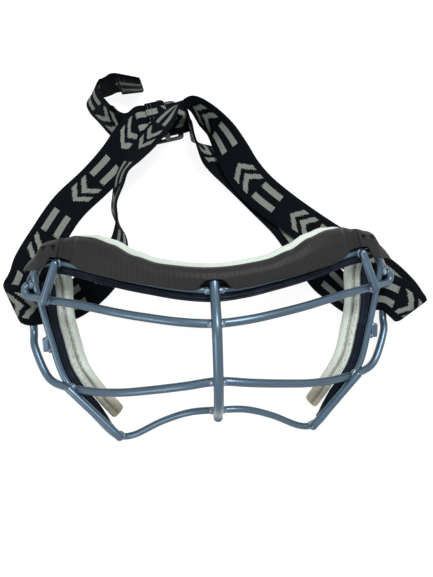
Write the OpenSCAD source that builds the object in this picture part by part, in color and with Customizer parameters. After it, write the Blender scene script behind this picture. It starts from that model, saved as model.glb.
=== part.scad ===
// Women's lacrosse goggles: a welded wire cage with a moulded brow cover, foam face
// pads on a rubber carrier, and an elastic strap with a three-bar slide.
// The goggles lie face side down on a table, brow raised, with the strap behind them.
// Worn axes while modelling: x to the viewer's right, y up the face, z to the front.

/* [Cage] */
// Width over the rim wire, centre to centre, at the temples
cage_w = 170; // [150:1:190]
// Height of the rim wire from the brow line to the lowest corner
cage_h = 73; // [64:0.5:84]
// Depth from the brow wire's middle back to the temple corners
cage_depth = 28; // [22:0.5:34]
// How far the cross bars bow forward of the brow wire
bar_bow = 9; // [5:0.5:13]
// Diameter of the rim wire
rim_d = 3.2; // [2.6:0.1:4]
// Diameter of the cross bars, side links and cheek bars
wire_d = 3.8; // [3:0.1:4.4]
// Diameter of the upright centre bar
centre_d = 4.4; // [3.6:0.1:5.2]
// How far two welded wires sink into each other
weld_sink = 0.25; // [0.15:0.05:0.4]

/* [Strap bars] */
// Distance from the middle of the goggles to each strap bar
strap_bar_x = 91; // [88:0.5:94]
// How far behind the brow wire the strap bars stand
strap_bar_back = 36.4; // [34.5:0.1:38]
// Free height for the webbing between a bar's bends
strap_slot = 23; // [21:0.5:24]

/* [Brow cover] */
// Wall of the brow cover
cover_wall = 2; // [1.4:0.1:2.6]
// Air between the cover and the wires
cover_gap = 0.35; // [0.2:0.05:0.6]
// Half width of the notch for the centre bar
notch_half = 6.4; // [5:0.1:8]

/* [Pads and carrier] */
// Wall of the rubber carrier
rail_wall = 1.6; // [1.2:0.1:2.2]
// Width of the side pads
pad_w = 9; // [7:0.1:10]
// Distance from the rim wire to the near edge of a side pad
pad_inset = 5.6; // [4.6:0.1:7]
// Thickness of the pads
pad_t = 7.5; // [6:0.1:8]
// Air between a pad and its carrier
pad_gap = 0.3; // [0.2:0.05:0.6]

/* [Strap] */
// Width of the webbing
strap_w = 20; // [18:0.5:21]
// Thickness of the webbing
strap_t = 1.3; // [1:0.1:1.5]
// Air kept between the webbing and what it passes
strap_gap = 0.3; // [0.2:0.05:0.4]

/* [Slide] */
// Thickness of each bar of the slide
slide_bar_t = 1.4; // [1.2:0.1:1.7]
// Length of the slide along the strap
slide_len = 19; // [17:0.5:21]
// Breadth of each bar along the strap
slide_bar_w = 3; // [2.4:0.1:3.4]
// Width of the slide's two cheeks beside the webbing
slide_cheek = 2; // [1.6:0.1:2.6]
// How far the slide travels
slide_travel = 6; // [4:0.5:8]

/* [Hidden] */

// Pose of the goggles on the table
tilt = 20;
rest_z = 47;
shift = [-3.6, -30.8, 0];

// Scale of the cage's guide points against the driving sizes
kx = cage_w / 170;
ky = cage_h / 73;
kz = cage_depth / 28;
kb = bar_bow / 9;

rim_r = rim_d / 2;
wire_r = wire_d / 2;
centre_r = centre_d / 2;
wire_sides = 10;

function unit(v) = v / norm(v);
function flip(p) = [-p[0], p[1], p[2]];

// Point of a smooth curve through p1 and p2, at t from 0 to 1 between them
function blend4(p0, p1, p2, p3, t) = 0.5 * (2 * p1 + (p2 - p0) * t
    + (2 * p0 - 5 * p1 + 4 * p2 - p3) * t * t
    + (3 * p1 - p0 - 3 * p2 + p3) * t * t * t);

// Smooth open curve through all the points, n steps to each span
function curve(p, n) = let (m = len(p) - 1)
    [for (i = [0:m - 1]) for (k = [0:n - 1])
        blend4(p[max(i - 1, 0)], p[i], p[i + 1], p[min(i + 2, m)], k / n), p[m]];

// Smooth closed curve through all the points
function ring_curve(p, n) = let (m = len(p))
    [for (i = [0:m - 1]) for (k = [0:n - 1])
        blend4(p[(i + m - 1) % m], p[i], p[(i + 1) % m], p[(i + 2) % m], k / n)];

// The right half of a curve, started at the middle, made whole by its mirror image
function whole(half) = concat([for (i = [len(half) - 1:-1:1]) flip(half[i])], half);

// Value at x of a smooth curve through the pairs of a table sorted by x
function spot(t, x, i = 0) = (i >= len(t) - 2 || x < t[i + 1][0]) ? i : spot(t, x, i + 1);
function read(t, x) = let (c = min(max(x, t[0][0]), t[len(t) - 1][0]), i = spot(t, c),
    s = (c - t[i][0]) / (t[i + 1][0] - t[i][0]), e = s * s * (3 - 2 * s))
    t[i][1] + (t[i + 1][1] - t[i][1]) * e;
function read_line(t, x) = let (c = min(max(x, t[0][0]), t[len(t) - 1][0]), i = spot(t, c),
    s = (c - t[i][0]) / (t[i + 1][0] - t[i][0])) t[i][1] + (t[i + 1][1] - t[i][1]) * s;

// Direction of a path at its point i
function heading(p, i, closed) = let (n = len(p))
    closed ? unit(p[(i + 1) % n] - p[(i + n - 1) % n])
    : unit(p[min(i + 1, n - 1)] - p[max(i - 1, 0)]);

// Skin of equal rings, one after another; open skins get a flat face at each end
module skin(rings, closed = false) {
    n = len(rings);
    m = len(rings[0]);
    sides = [for (i = [0:closed ? n - 1 : n - 2]) for (j = [0:m - 1])
        let (a = i * m + j, b = i * m + (j + 1) % m, k = (i + 1) % n,
            c = k * m + j, d = k * m + (j + 1) % m)
        each [[a, b, d], [a, d, c]]];
    ends = closed ? [] : [[for (j = [m - 1:-1:0]) j], [for (j = [0:m - 1]) (n - 1) * m + j]];
    polyhedron([for (r = rings) each r], concat(sides, ends), convexity = 8);
}

// Rings of a round wire along a path; ref is a direction that the path never takes
function wire_rings(p, r, ref, closed) = [for (i = [0:len(p) - 1])
    let (t = heading(p, i, closed), a = unit(cross(t, ref)), b = cross(t, a))
    [for (k = [0:wire_sides - 1]) let (g = 360 * k / wire_sides)
        p[i] + r * (cos(g) * a + sin(g) * b)]];

module wire(p, r, ref, closed = false) {
    skin(wire_rings(p, r, ref, closed), closed);
}

// Round bar from a to b with domed ends
module rod(a, b, r) {
    v = b - a;
    translate(a) rotate([0, acos(v[2] / norm(v)), atan2(v[1], v[0])]) {
        cylinder(h = norm(v), r = r, $fn = 24);
        sphere(r = r, $fn = 24);
        translate([0, 0, norm(v)]) sphere(r = r, $fn = 24);
    }
}

// Places a worn-frame shape on the table
module lay() {
    translate(shift + [0, 0, rest_z]) rotate([tilt, 0, 0]) children();
}

// Rim wire, right half from the middle of the brow round to the nose arch
function cage(x, y, z) = [x * kx, y * ky, z * kz];
brow_half = [cage(0, -0.8, 0), cage(14, 0.4, -0.8), cage(27, 2.7, -3), cage(39, 5, -6),
    cage(49, 7.3, -9.2), cage(60, 9.8, -14), cage(70, 11.4, -18.6), cage(78.5, 10.8, -23.2)];
side_half = [cage(84, 6.6, -27), cage(85, 0.4, -28), cage(83, -10, -27.4),
    cage(79, -27.5, -25), cage(73.6, -45.5, -22.2), cage(62, -60, -18)];
base_half = [cage(51, -71, -14), cage(46, -73, -13), cage(39, -71.6, -12), cage(26, -63.8, -8),
    cage(13, -58, -3.6), cage(0, -56.8, -2)];
rim_half = concat(brow_half, side_half, base_half);
rim_ring = concat(rim_half, [for (i = [len(rim_half) - 2:-1:1]) flip(rim_half[i])]);

module rim_wire() {
    color("slategray") lay() wire(ring_curve(rim_ring, 3), rim_r, [0, 0, 1], true);
}

// Cross bars: a bowed run, then the bends at the temples
function front(x, y, z) = [x * kx, y * ky, z > 0 ? z * kb : z * kz];
bend_top = 0.6;
bend_low = bend_top - strap_slot;
rim_corner = cage(84, 6.6, -27);
rim_outer = cage(85, 0.4, -28);
weld_gap = rim_r + wire_r - weld_sink;
upper_half = [front(0, -13.2, 9), front(14, -12.4, 7.7), front(28, -10.9, 4), front(42, -9.2, -1),
    front(60, -6.8, -9.4), front(78, -5.5, -19.2), [strap_bar_x - 6.8, -5.3, 12.9 - strap_bar_back],
    [strap_bar_x - 3.4, -5.1, 10.6 - strap_bar_back], [strap_bar_x - 1.2, -3.4, 9.4 - strap_bar_back],
    [strap_bar_x - 1.4, -0.9, 8.9 - strap_bar_back], rim_outer + weld_gap * [0.98, 0, 0.2]];
lower_half = [front(0, -38.4, 9.4), front(14, -40.4, 7.9), front(28, -43.2, 3.6),
    front(43, -46.2, -2.4), front(58, -48.4, -10.6), front(71.5, -49, -18.6),
    front(82, -45.6, -24.4),
    [strap_bar_x - 1.6, bend_low - 10, 5.4 - strap_bar_back],
    [strap_bar_x, bend_low - 3.4, 0.6 - strap_bar_back],
    [strap_bar_x, bend_low + 1.6, -strap_bar_back],
    [strap_bar_x, (bend_top + bend_low) / 2, -strap_bar_back],
    [strap_bar_x - 0.3, bend_top - 1, -strap_bar_back],
    [strap_bar_x - 2.6, bend_top + 2.8, 2.2 - strap_bar_back],
    rim_corner + weld_gap * [0.34, 0, -0.94]];

module upper_bar() {
    color("slategray") lay() wire(curve(whole(upper_half), 3), wire_r, [0, 0, 1]);
}

module lower_bar() {
    color("slategray") lay() wire(curve(whole(lower_half), 3), wire_r, [0, 0, 1]);
}

// Centre bar, welded on the front of the brow wire, both cross bars and the nose arch
centre_step = centre_r + wire_r - weld_sink;
rim_step = centre_r + rim_r - weld_sink;
centre_path = [brow_half[0] + [0, 4, rim_step - 2.2], brow_half[0] + [0, 0, rim_step],
    upper_half[0] + [0, 0, centre_step], front(0, -26, 10.3) + [0, 0, centre_step],
    lower_half[0] + [0, 0, centre_step], cage(0, -49.5, 0) + [0, 0, 9 * kb],
    base_half[5] + [0, 0, rim_step], base_half[5] + [0, -2.6, rim_step - 1.6]];

module centre_bar() {
    path = curve(centre_path, 3);
    rings = wire_rings(path, centre_r, [1, 0, 0], false);
    tip = path[len(path) - 1];
    way = unit(tip - path[len(path) - 2]);
    dome = [for (k = [1:2]) [for (q = rings[len(rings) - 1])
        tip + (q - tip) * [0, 0.82, 0.4][k] + way * centre_r * [0, 0.55, 0.9][k]]];
    color("slategray") lay() skin(concat(rings, dome));
}

// Seat of a wire on the front of another that runs across the face from p to q
function proud(p, q, d) = p + d * unit(cross(q - p, [0, 1, 0]));

// Side links stand on the front of the brow run and of the upper bar
link_top = proud(brow_half[6], brow_half[7], rim_r + wire_r - weld_sink) - [0.6, 0, 0];
link_base = upper_half[5] * 0.88 + upper_half[4] * 0.12;
link_foot = proud(link_base, link_base + upper_half[5] - upper_half[4], wire_d - weld_sink);

module right_side_link() {
    color("slategray") lay() rod(link_top, link_foot, wire_r);
}

module left_side_link() {
    color("slategray") lay() rod(flip(link_top), flip(link_foot), wire_r);
}

// Cheek bars run from the front of the lower bar's bends down to the bottom corners
cheek_base = lower_half[5] * 0.7 + lower_half[4] * 0.3 + [0, 1.2, 0];
cheek_top = proud(cheek_base, cheek_base + lower_half[5] - lower_half[4], wire_d - weld_sink);
cheek_foot = base_half[1] + [0.6, 1.4, rim_r + wire_r - weld_sink];

module right_cheek_bar() {
    color("slategray") lay() rod(cheek_top, cheek_foot, wire_r);
}

module left_cheek_bar() {
    color("slategray") lay() rod(flip(cheek_top), flip(cheek_foot), wire_r);
}

// Short tabs on the outside of the rim that keep the webbing up in its slot
tab = [3, 7, 2.4];

module rim_tabs() {
    seat = side_half[3] + [rim_r + 1.1, -1.5, 0];
    color("slategray") lay() for (s = [-1, 1])
        translate([s * seat[0], seat[1], seat[2]]) cube([tab[0], tab[1], tab[2]], center = true);
}

// Brow cover: heights over the brow wire and forward offsets, by place along the brow
cover_top = [[0, 9.5], [14, 9.3], [24, 9], [34, 10.4], [44, 13.4], [52, 14.4], [60, 13.6],
    [68, 11.2], [76, 9.4], [82, 8.8], [88, 8]];
cover_low = [[0, 4.9], [notch_half - 1.6, 4.7], [notch_half + 0.4, 0.3], [notch_half + 2, -0.2],
    [58, -0.1], [61, 0.6], [64, 2.6], [79.4, 2.7], [82, 1.4], [88, 0.4]];
panel_end = 62;

// Where the cover's own guide line runs: over the brow wire, then on past the corner
cover_half = concat(brow_half, [cage(84.5, 6.4, -27.6), cage(91.5, 3.4, -33.6)]);
cover_line = curve(whole(cover_half), 8);
function guide(x, i = 0) = (i >= len(cover_line) - 2 || x < cover_line[i + 1][0])
    ? let (a = cover_line[i], b = cover_line[i + 1]) a + (b - a) * (x - a[0]) / (b[0] - a[0])
    : guide(x, i + 1);

// One section of the cover at x: front wall, rounded shoulder and top wall
function cover_section(x) = let (ax = abs(x) / kx, g = guide(x),
    top = read(cover_top, ax), low = read_line(cover_low, ax),
    step = read(panel_steps, ax), face = rim_r + cover_gap + cover_wall + step,
    back = brow_pad_front + pad_gap, w = cover_wall,
    lean = 0.45 * min(1, ax / 40) * (ax < 79 ? 1 : 0.6))
    [for (q = [[low, face], [top * 0.62, face - 0.3], [top - 1.4, face - 1.3], [top, face - 3.2],
        [top + 0.2, back], [top - w, back], [top - w - 0.2, face - 3 - w * 0.4],
        [top - w - 1.2, face - w - 1], [(top - w) * 0.62, face - w - 0.25], [low, face - w]])
        [x + sign(x) * lean * (q[0] - top) * -0.6, g[1] + q[0], g[2] + q[1]]];
panel_steps = [[0, 0.3], [panel_end - 1.5, 0.3], [panel_end + 1, -2.1], [79, -2.1], [82, 0],
    [92, 0]];
cover_side = [notch_half - 1.6, notch_half + 0.4, notch_half + 2, 13, 19, 25, 31, 36, 41, 46, 51,
    56, panel_end - 1.5, panel_end + 1, 65.5, 70, 75, 79, 82, 85.5, 88.6, 90.4];
cover_stations = [for (s = concat([for (i = [len(cover_side) - 1:-1:0]) -cover_side[i]], [-2, 2],
    cover_side)) s * kx];

module brow_cover() {
    color("dimgray") lay() skin([for (x = cover_stations) cover_section(x)]);
}

// Brow rail: a wall behind the brow wire with a lip under it
rail_stations = [for (i = [-19:19]) i * 4 * kx];
rail_face = -rim_r - 0.2;
function rail_section(x) = let (g = guide(x), top = read(cover_top, abs(x) / kx) - cover_wall - 0.7)
    [for (q = [[-rim_r - 0.3, rim_r * 0.7], [-rim_r - 0.3, rail_face], [top, rail_face],
        [top, rail_face - rail_wall], [-rim_r - 3.6, rail_face - rail_wall],
        [-rim_r - 3.6, rim_r * 0.4]]) [x, g[1] + q[0], g[2] + q[1]]];

module brow_rail() {
    color([0.1, 0.12, 0.16]) lay() skin([for (x = rail_stations) rail_section(x)]);
}

// Outline of a sewn pad: two rolls side by side with a groove between, on a unit square
pad_outline = [[0, -0.5], [0.06, -0.2], [0.24, 0], [0.42, -0.1], [0.5, -0.3], [0.58, -0.1],
    [0.76, 0], [0.94, -0.2], [1, -0.5], [0.92, -0.86], [0.72, -1], [0.5, -0.88], [0.28, -1],
    [0.08, -0.86]];
pad_mid = [0.5, -0.5];
function swell(k, n) = k == 0 || k == n ? 0.62 : (k == 1 || k == n - 1 ? 0.9 : 1);

// Brow pad: the same outline carried along behind the brow rail
brow_pad_front = rail_face - rail_wall - pad_gap;
brow_pad_stations = [for (i = [-18:18]) i * 4.1 * kx];
function brow_pad_ring(x, k, n) = let (g = guide(x), ax = abs(x) / kx,
    top = read(cover_top, ax) + read([[0, 1.9], [30, 2.2], [46, 1.9], [56, 0.6], [66, -1.2], [76, -2.4]], ax),
    low = -2.6, s = swell(k, n))
    [for (q = pad_outline) let (c = pad_mid + (q - pad_mid) * s)
        [x, g[1] + low + (top - low) * c[0], g[2] + brow_pad_front + pad_t * c[1]]];

module brow_pad() {
    n = len(brow_pad_stations) - 1;
    color("honeydew") lay()
        skin([for (k = [0:n]) brow_pad_ring(brow_pad_stations[n - k], k, n)]);
}

// Side rails and pads follow the rim's side, set inwards from it
side_guide = curve(concat([side_half[1]], [for (i = [2:5]) side_half[i]], [base_half[0]]), 5);
function inward(i) = let (t = heading(side_guide, i, false)) unit([t[1], -t[0], 0]);
rail_drop = 1.6;
rail_lap = 1.8;
pad_seat = rail_face - rail_drop - rail_wall - pad_gap;
side_pad_from = 1;
side_pad_to = len(side_guide) - 2;
function down(i) = (i - side_pad_from) / (side_pad_to - side_pad_from);
function near(i) = pad_inset - read([[0, 0], [0.35, 3.2], [1, 4.2]], down(i));
function side_rail_ring(i) = let (g = side_guide[i], w = inward(i), e = near(i) + rail_lap)
    [for (q = [[0.2, rail_face], [rim_r + 0.4, rail_face + 0.9], [e, rail_face - rail_drop],
        [e, rail_face - rail_drop - rail_wall], [e - 1.2, rail_face - rail_drop - rail_wall],
        [0.2, rail_face - rail_wall]]) g + w * q[0] + [0, 0, q[1]]];
function side_pad_ring(i) = let (g = side_guide[i], w = inward(i),
    s = swell(i - side_pad_from, side_pad_to - side_pad_from),
    thick = pad_t * read([[0, 1], [0.5, 0.72], [1, 0.52]], down(i)),
    wide = pad_w * (1 - 0.26 * down(i)))
    [for (q = pad_outline) let (c = pad_mid + (q - pad_mid) * s)
        g + w * (near(i) + wide * c[0]) + [0, 0, pad_seat + thick * c[1]]];

module side_rail() {
    skin([for (i = [len(side_guide) - 1:-1:0]) side_rail_ring(i)]);
}

module side_pad() {
    skin([for (i = [side_pad_to:-1:side_pad_from]) side_pad_ring(i)]);
}

module right_rail() {
    color([0.1, 0.12, 0.16]) lay() side_rail();
}

module left_rail() {
    color([0.1, 0.12, 0.16]) lay() mirror([1, 0, 0]) side_rail();
}

module right_side_pad() {
    color("honeydew") lay() side_pad();
}

module left_side_pad() {
    color("honeydew") lay() mirror([1, 0, 0]) side_pad();
}

// Webbing: each route point is [place on the table, half-width direction]
half_w = strap_w / 2;
function ribbon_rings(route, n) = let (p = curve([for (r = route) r[0]], n),
    w = curve([for (r = route) r[1]], n))
    [for (i = [0:len(p) - 1]) let (t = heading(p, i, false), a = w[i] * half_w,
        b = unit(cross(t, w[i])) * strap_t / 2)
        [p[i] + a + b, p[i] + a - b, p[i] - a - b, p[i] - a + b]];

module ribbon(route, n) {
    translate(shift) skin(ribbon_rings(route, n));
}

// Places on the table of the strap bars and of the webbing over them
function on_table(p) = [p[0], p[1] * cos(tilt) - p[2] * sin(tilt),
    p[1] * sin(tilt) + p[2] * cos(tilt) + rest_z];
up_face = [0, cos(tilt), sin(tilt)];
slot_mid = (bend_top + bend_low) / 2 - 0.5;
over_bar = wire_r + strap_gap + strap_t / 2;
bar_spot = on_table([strap_bar_x, slot_mid, over_bar - strap_bar_back]);
slot_spot = on_table([strap_bar_x - 5.6, slot_mid, 0.9 - strap_bar_back]);
flat_z = strap_t / 2 + 0.2;

// The webbing's turning points in the slots beside the strap bars
join_way = [0.96, 0, 0.72];
join_right = [slot_spot, up_face];
join_left = [flip(slot_spot), up_face];
join_out = [for (k = [0.5, 1]) [slot_spot + k * join_way, up_face]];
join_in = [for (k = [0.5, 1]) [slot_spot - k * join_way, up_face]];

// Left run: over the left bar, folded on its crease and back towards the slide
left_route = [join_left, for (q = join_out) [flip(q[0]), up_face],
    [flip(bar_spot), up_face], [[-95.6, 1.6, 12.7], [-0.2, 0.98, 0.3]],
    [[-98.8, 2.2, 11.8], [-0.5, 1, 0.2]], [[-100.4, 2.8, 9.8], [-0.63, 1.02, 0.12]],
    [[-100.5, 5.6, 7.4], [-0.64, 0.88, 0.05]], [[-97.6, 12, 5.2], [-0.78, 0.8, 0]],
    [[-93.4, 24, 3.6], [-0.86, 0.6, 0]], [[-86.4, 38.6, 2.2], [-0.84, 0.56, 0]],
    [[-76, 56, 1.2], [-0.77, 0.63, 0]], [[-61, 71.4, flat_z], [-0.7, 0.72, 0]],
    [[-50, 82, 3.4], [-0.66, 0.75, 0.12]], [[-42.8, 92.2, 6.5], [-0.5, 0.86, 0.08]]];

// Cross run: from the left bar up behind the brow, over the slide and down to the right bar
cross_route = [join_left, for (q = join_in) [flip(q[0]), up_face],
    [[-82, 2, 6.4], [0, 0.96, 0.3]], [[-78, 2.4, 3.4], [-0.05, 0.98, 0.2]],
    [[-71, 5.4, 1.8], [-0.3, 0.95, 0.06]], [[-63, 11, 3.4], [-0.5, 0.83, 0.22]],
    [[-55.6, 17.2, 6.8], [-0.58, 0.56, 0.58]], [[-49.6, 24, 9.8], [-0.42, 0.25, 0.87]],
    [[-46.4, 31, 10.6], [-0.28, 0.05, 0.96]], [[-45.8, 38, 10.8], [-0.12, -0.05, 0.99]],
    [[-47.6, 45, 10.8], [0.16, -0.1, 0.98]], [[-49, 52.6, 10.8], [0.3, -0.1, 0.95]],
    [[-47, 61.6, 10.6], [0.45, -0.05, 0.9]], [[-44.6, 69.8, 12.4], [0.5, -0.2, 0.84]],
    [[-38.6, 77.8, 14.2], [0.5, -0.5, 0.7]], [[-32, 85, 15.4], [0.54, -0.57, 0.62]],
    [[-25, 93, 16.2], [0.52, -0.6, 0.61]], [[-18.6, 99.8, 17.2], [0.35, -0.68, 0.65]],
    [[-12.4, 105.2, 18.8], [0.01, -0.54, 0.84]], [[-7, 105.8, 18.6], [-0.02, -0.2, 0.98]],
    [[-1.6, 102.8, 15.6], [0.05, 0.22, 0.96]], [[4.8, 98, 13.6], [0.27, 0.24, 0.9]],
    [[10.2, 90.2, 12.8], [0.56, 0.27, 0.72]], [[15.2, 80.4, 11.6], [0.76, 0.37, 0.44]],
    [[21.2, 70.4, 8.8], [0.78, 0.45, 0.36]], [[30.4, 60, 6.2], [0.7, 0.65, 0.25]],
    [[45.8, 47.4, 4.4], [0.57, 0.8, 0.12]], [[64.2, 33.4, 4], [0.55, 0.83, 0.05]],
    [[82.2, 20.6, 4.4], [0.62, 0.78, 0.05]], [[93.6, 11.2, 5], [0.76, 0.65, 0.08]],
    [[101.2, 2.2, 5.8], [0.82, 0.58, 0.06]], [[104.8, -5.2, 7], [0.9, 0.58, 0.04]],
    [[105.4, -8.8, 9.4], [0.94, 0.6, 0.1]], [[102.4, -7.6, 11.8], [0.84, 0.72, 0.15]],
    [[97, -3.4, 12.9], [0.45, 0.9, 0.26]], [bar_spot, [0.12, 0.93, 0.34]],
    join_out[1], join_out[0], join_right];

// Right run: from the right bar behind the goggles to the slide
right_route = [join_right, each join_in,
    [[82, 1.4, 6.4], [0, 0.94, 0.3]], [[78, -0.4, 3.4], [0.02, 0.95, 0.2]],
    [[73.4, 1.6, 1.6], [0.22, 0.93, 0.05]], [[67.2, 8, 1], [0.54, 0.8, 0]], [[61.6, 14.4, flat_z], [0.7, 0.7, 0]],
    [[53, 28.6, 1], [0.86, 0.5, 0]], [[44, 43.4, 1], [0.76, 0.65, 0]],
    [[32.4, 56.8, 0.9], [0.66, 0.75, 0]], [[18.6, 71, 2], [0.64, 0.74, -0.1]],
    [[8.4, 80.8, 2.9], [0.6, 0.74, -0.2]], [[1, 83.9, 6.9], [0.32, 0.7, -0.61]],
    [[-5.2, 90.4, 9.6], [0, 0.49, -0.86]], [[-6.6, 95, 9.4], [0, -0.1, -0.86]],
    [[-7, 98.8, 4.9], [0.06, -0.68, -0.4]], [[-7.9, 103.8, 3.4], [0.12, -0.9, -0.2]]];

module cross_strap() {
    color([0.03, 0.04, 0.09])
        ribbon(cross_route, 3);
}

// Slide: a flat ring under the running webbing, with two posts that carry the centre bar over it
slide_spot = [-22.4, 106, 0];
slide_turn = 12;
along = [cos(slide_turn), sin(slide_turn), 0];
across = [-sin(slide_turn), cos(slide_turn), 0];
layer_gap = 0.25;
run_low = slide_bar_t + layer_gap;
run_mid = run_low + strap_t / 2;
loop_low = run_low + strap_t + layer_gap;
bar_low = loop_low + strap_t + layer_gap / 2;
loop_high = bar_low + slide_bar_t + layer_gap / 2;
slide_lift = 0.1;
slide_in = half_w + strap_gap;
slide_corner = 2;

module at_slide() {
    translate(shift + slide_spot + [0, 0, slide_lift]) rotate([0, 0, slide_turn]) children();
}

// Flat outline with round corners, centred
module outline(l, w, r) {
    square([l - 2 * r, w], center = true);
    square([l, w - 2 * r], center = true);
    for (x = [-1, 1]) for (y = [-1, 1])
        translate([x * (l / 2 - r), y * (w / 2 - r)]) circle(r = r, $fn = 24);
}

module slide_frame() {
    top = bar_low + slide_bar_t;
    outer = 2 * (slide_in + slide_cheek);
    color([0.2, 0.2, 0.22]) at_slide() {
        linear_extrude(slide_bar_t) difference() {
            outline(slide_len, outer, slide_corner);
            square([slide_len - 2 * slide_bar_w, 2 * slide_in], center = true);
        }
        difference() {
            linear_extrude(top) square([slide_bar_w, outer], center = true);
            translate([-slide_len / 2, -slide_in, -1]) cube([slide_len, 2 * slide_in, bar_low + 1]);
        }
    }
}

// Sewn loop: webbing round the centre bar, its two layers open to the left run's end
loop_back = slide_bar_w / 2 + slide_travel + 1;
loop_front = slide_bar_w / 2 + layer_gap;

module sewn_loop() {
    color([0.03, 0.04, 0.09]) at_slide() translate([0, half_w, 0]) rotate([90, 0, 0])
        linear_extrude(strap_w) union() {
            translate([-loop_back, loop_low]) square([loop_back + loop_front, strap_t]);
            translate([-loop_back, loop_high]) square([loop_back + loop_front, strap_t]);
            translate([loop_front, loop_low]) square([strap_t, loop_high + strap_t - loop_low]);
        }
}

// Ends of the runs that meet the slide
mouth_z = slide_lift + (loop_low + loop_high + strap_t) / 2;
left_end = slide_spot - along * (loop_back - 0.6) + [0, 0, mouth_z];
left_mouth = left_end - along * (slide_travel + 1);
run_cut = slide_spot + [0, 0, slide_lift + run_mid];
run_right = run_cut + along * (slide_len / 2 + 0.5);
run_left = run_cut - along * (slide_len / 2 + slide_travel + 0.5);
straight = along * 4;

module left_outer_strap() {
    color([0.03, 0.04, 0.09])
        ribbon(concat(left_route, [[left_mouth, across], [left_end, across]]), 4);
}

module right_inner_strap() {
    color([0.03, 0.04, 0.09])
        ribbon(concat(right_route, [[run_right + straight, -across], [run_right, -across],
            [run_cut, -across]]), 4);
}

// Tail: free webbing past the slide, standing on its edge and curled round
tail_route = [[run_cut, -across], [run_left, -across], [[-42.8, 101, 2.6], [0.15, -0.96, -0.12]],
    [[-47, 100.5, 4.5], [0, -0.88, -0.38]], [[-50.4, 102.6, 8.8], [-0.24, -0.4, -0.8]],
    [[-54.2, 106.4, 9.7], [-0.48, 0, -0.86]], [[-57.8, 111, 9.2], [-0.6, 0.11, -0.78]],
    [[-60.4, 116, 9.2], [-0.56, 0.2, -0.8]], [[-60, 119.4, 10], [-0.38, 0.22, -0.89]],
    [[-57, 120.9, 10.7], [-0.21, 0.13, -0.97]], [[-52.5, 120.9, 10.9], [-0.1, 0.14, -0.98]],
    [[-49.4, 121.2, 10.9], [0, 0.16, -0.98]], [[-46.5, 122, 10.9], [0, 0.16, -0.98]]];

module strap_tail() {
    color([0.03, 0.04, 0.09]) ribbon(tail_route, 4);
}

// Sewn hem: the tail's end turned over on itself
hem_l = 12;
hem_r = (strap_t + 0.2) / 2;
tail_end = tail_route[len(tail_route) - 1];
hem_way = [0.964, 0.264, 0];
hem_side = unit(cross(hem_way, tail_end[1]));
function hem_place(u, v) = tail_end[0] + u * hem_way + v * hem_side;
hem_route = concat([for (u = [0, hem_l / 2, hem_l]) hem_place(u, 0)],
    [for (a = [45, 90, 135]) hem_place(hem_l + hem_r * sin(a), hem_r * (cos(a) - 1))],
    [for (u = [hem_l, hem_l / 2, 0.8]) hem_place(u, -2 * hem_r)]);

module strap_hem() {
    color([0.03, 0.04, 0.09])
        ribbon([for (q = hem_route) [q, tail_end[1]]], 1);
}

rim_wire();
upper_bar();
lower_bar();
centre_bar();
left_side_link();
right_side_link();
left_cheek_bar();
right_cheek_bar();
rim_tabs();
brow_cover();
brow_rail();
left_rail();
right_rail();
brow_pad();
left_side_pad();
right_side_pad();
left_outer_strap();
cross_strap();
right_inner_strap();
strap_tail();
strap_hem();
slide_frame();
sewn_loop();
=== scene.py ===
"""Lacrosse goggles on a table: wires, brow cover, foam pads, webbing and stage."""

import bpy
import math
import numpy as np
from bpy.props import FloatProperty, FloatVectorProperty, IntProperty, PointerProperty
from mathutils import Matrix, Vector


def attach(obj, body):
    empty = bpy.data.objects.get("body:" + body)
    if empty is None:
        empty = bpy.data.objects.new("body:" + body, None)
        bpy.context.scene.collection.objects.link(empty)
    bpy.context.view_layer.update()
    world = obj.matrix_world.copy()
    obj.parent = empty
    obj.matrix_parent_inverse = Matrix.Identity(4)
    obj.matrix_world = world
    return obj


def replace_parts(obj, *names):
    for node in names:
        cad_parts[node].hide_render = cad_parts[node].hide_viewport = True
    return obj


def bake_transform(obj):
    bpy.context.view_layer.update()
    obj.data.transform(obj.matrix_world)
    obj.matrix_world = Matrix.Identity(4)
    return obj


bl_info = {
    "name": "Lacrosse goggles",
    "version": (1, 0, 0),
    "blender": (4, 5, 0),
    "location": "View3D > Sidebar > Goggles",
    "description": "Dresses the goggles' frame with wires, cover, pads, webbing and a stage",
    "category": "Object",
}

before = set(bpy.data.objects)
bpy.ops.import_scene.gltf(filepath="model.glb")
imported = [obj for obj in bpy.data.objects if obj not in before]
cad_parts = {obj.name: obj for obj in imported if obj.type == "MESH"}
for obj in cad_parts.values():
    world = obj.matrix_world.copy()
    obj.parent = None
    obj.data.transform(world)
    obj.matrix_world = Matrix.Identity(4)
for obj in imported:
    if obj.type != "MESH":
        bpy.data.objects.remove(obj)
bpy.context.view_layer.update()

# Lengths below are in millimetres until a mesh is made
MM = 0.001
TILT = math.radians(20)
REST_HEIGHT = 47.0
SHIFT = np.array([-3.6, -30.8, 0.0])
TURN = np.array([[1, 0, 0], [0, math.cos(TILT), -math.sin(TILT)], [0, math.sin(TILT), math.cos(TILT)]])
UPWARD, FORWARD = TURN @ [0, 1.0, 0], TURN @ [0, 0, 1.0]
SIDES = (("right", np.array([1, 1, 1])), ("left", np.array([-1, 1, 1])))


def tint(code):
    """Linear colour from a hexadecimal one: each channel undoes the display curve."""
    c = np.array([int(code[i:i + 2], 16) for i in (1, 3, 5)]) / 255
    return tuple(np.where(c <= 0.04045, c / 12.92, ((c + 0.055) / 1.055) ** 2.4))


def on_table(p):
    """Worn frame to table: turned by the rest angle about x, then raised."""
    return np.asarray(p, float) @ TURN.T + np.array([0, 0, REST_HEIGHT])


def lay(p):
    """The same, then shifted to the place that the frame gives the whole part."""
    return on_table(p) + SHIFT


def unit(v):
    """Vectors over their own length."""
    return v / np.linalg.norm(v, axis=-1, keepdims=True)


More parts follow.
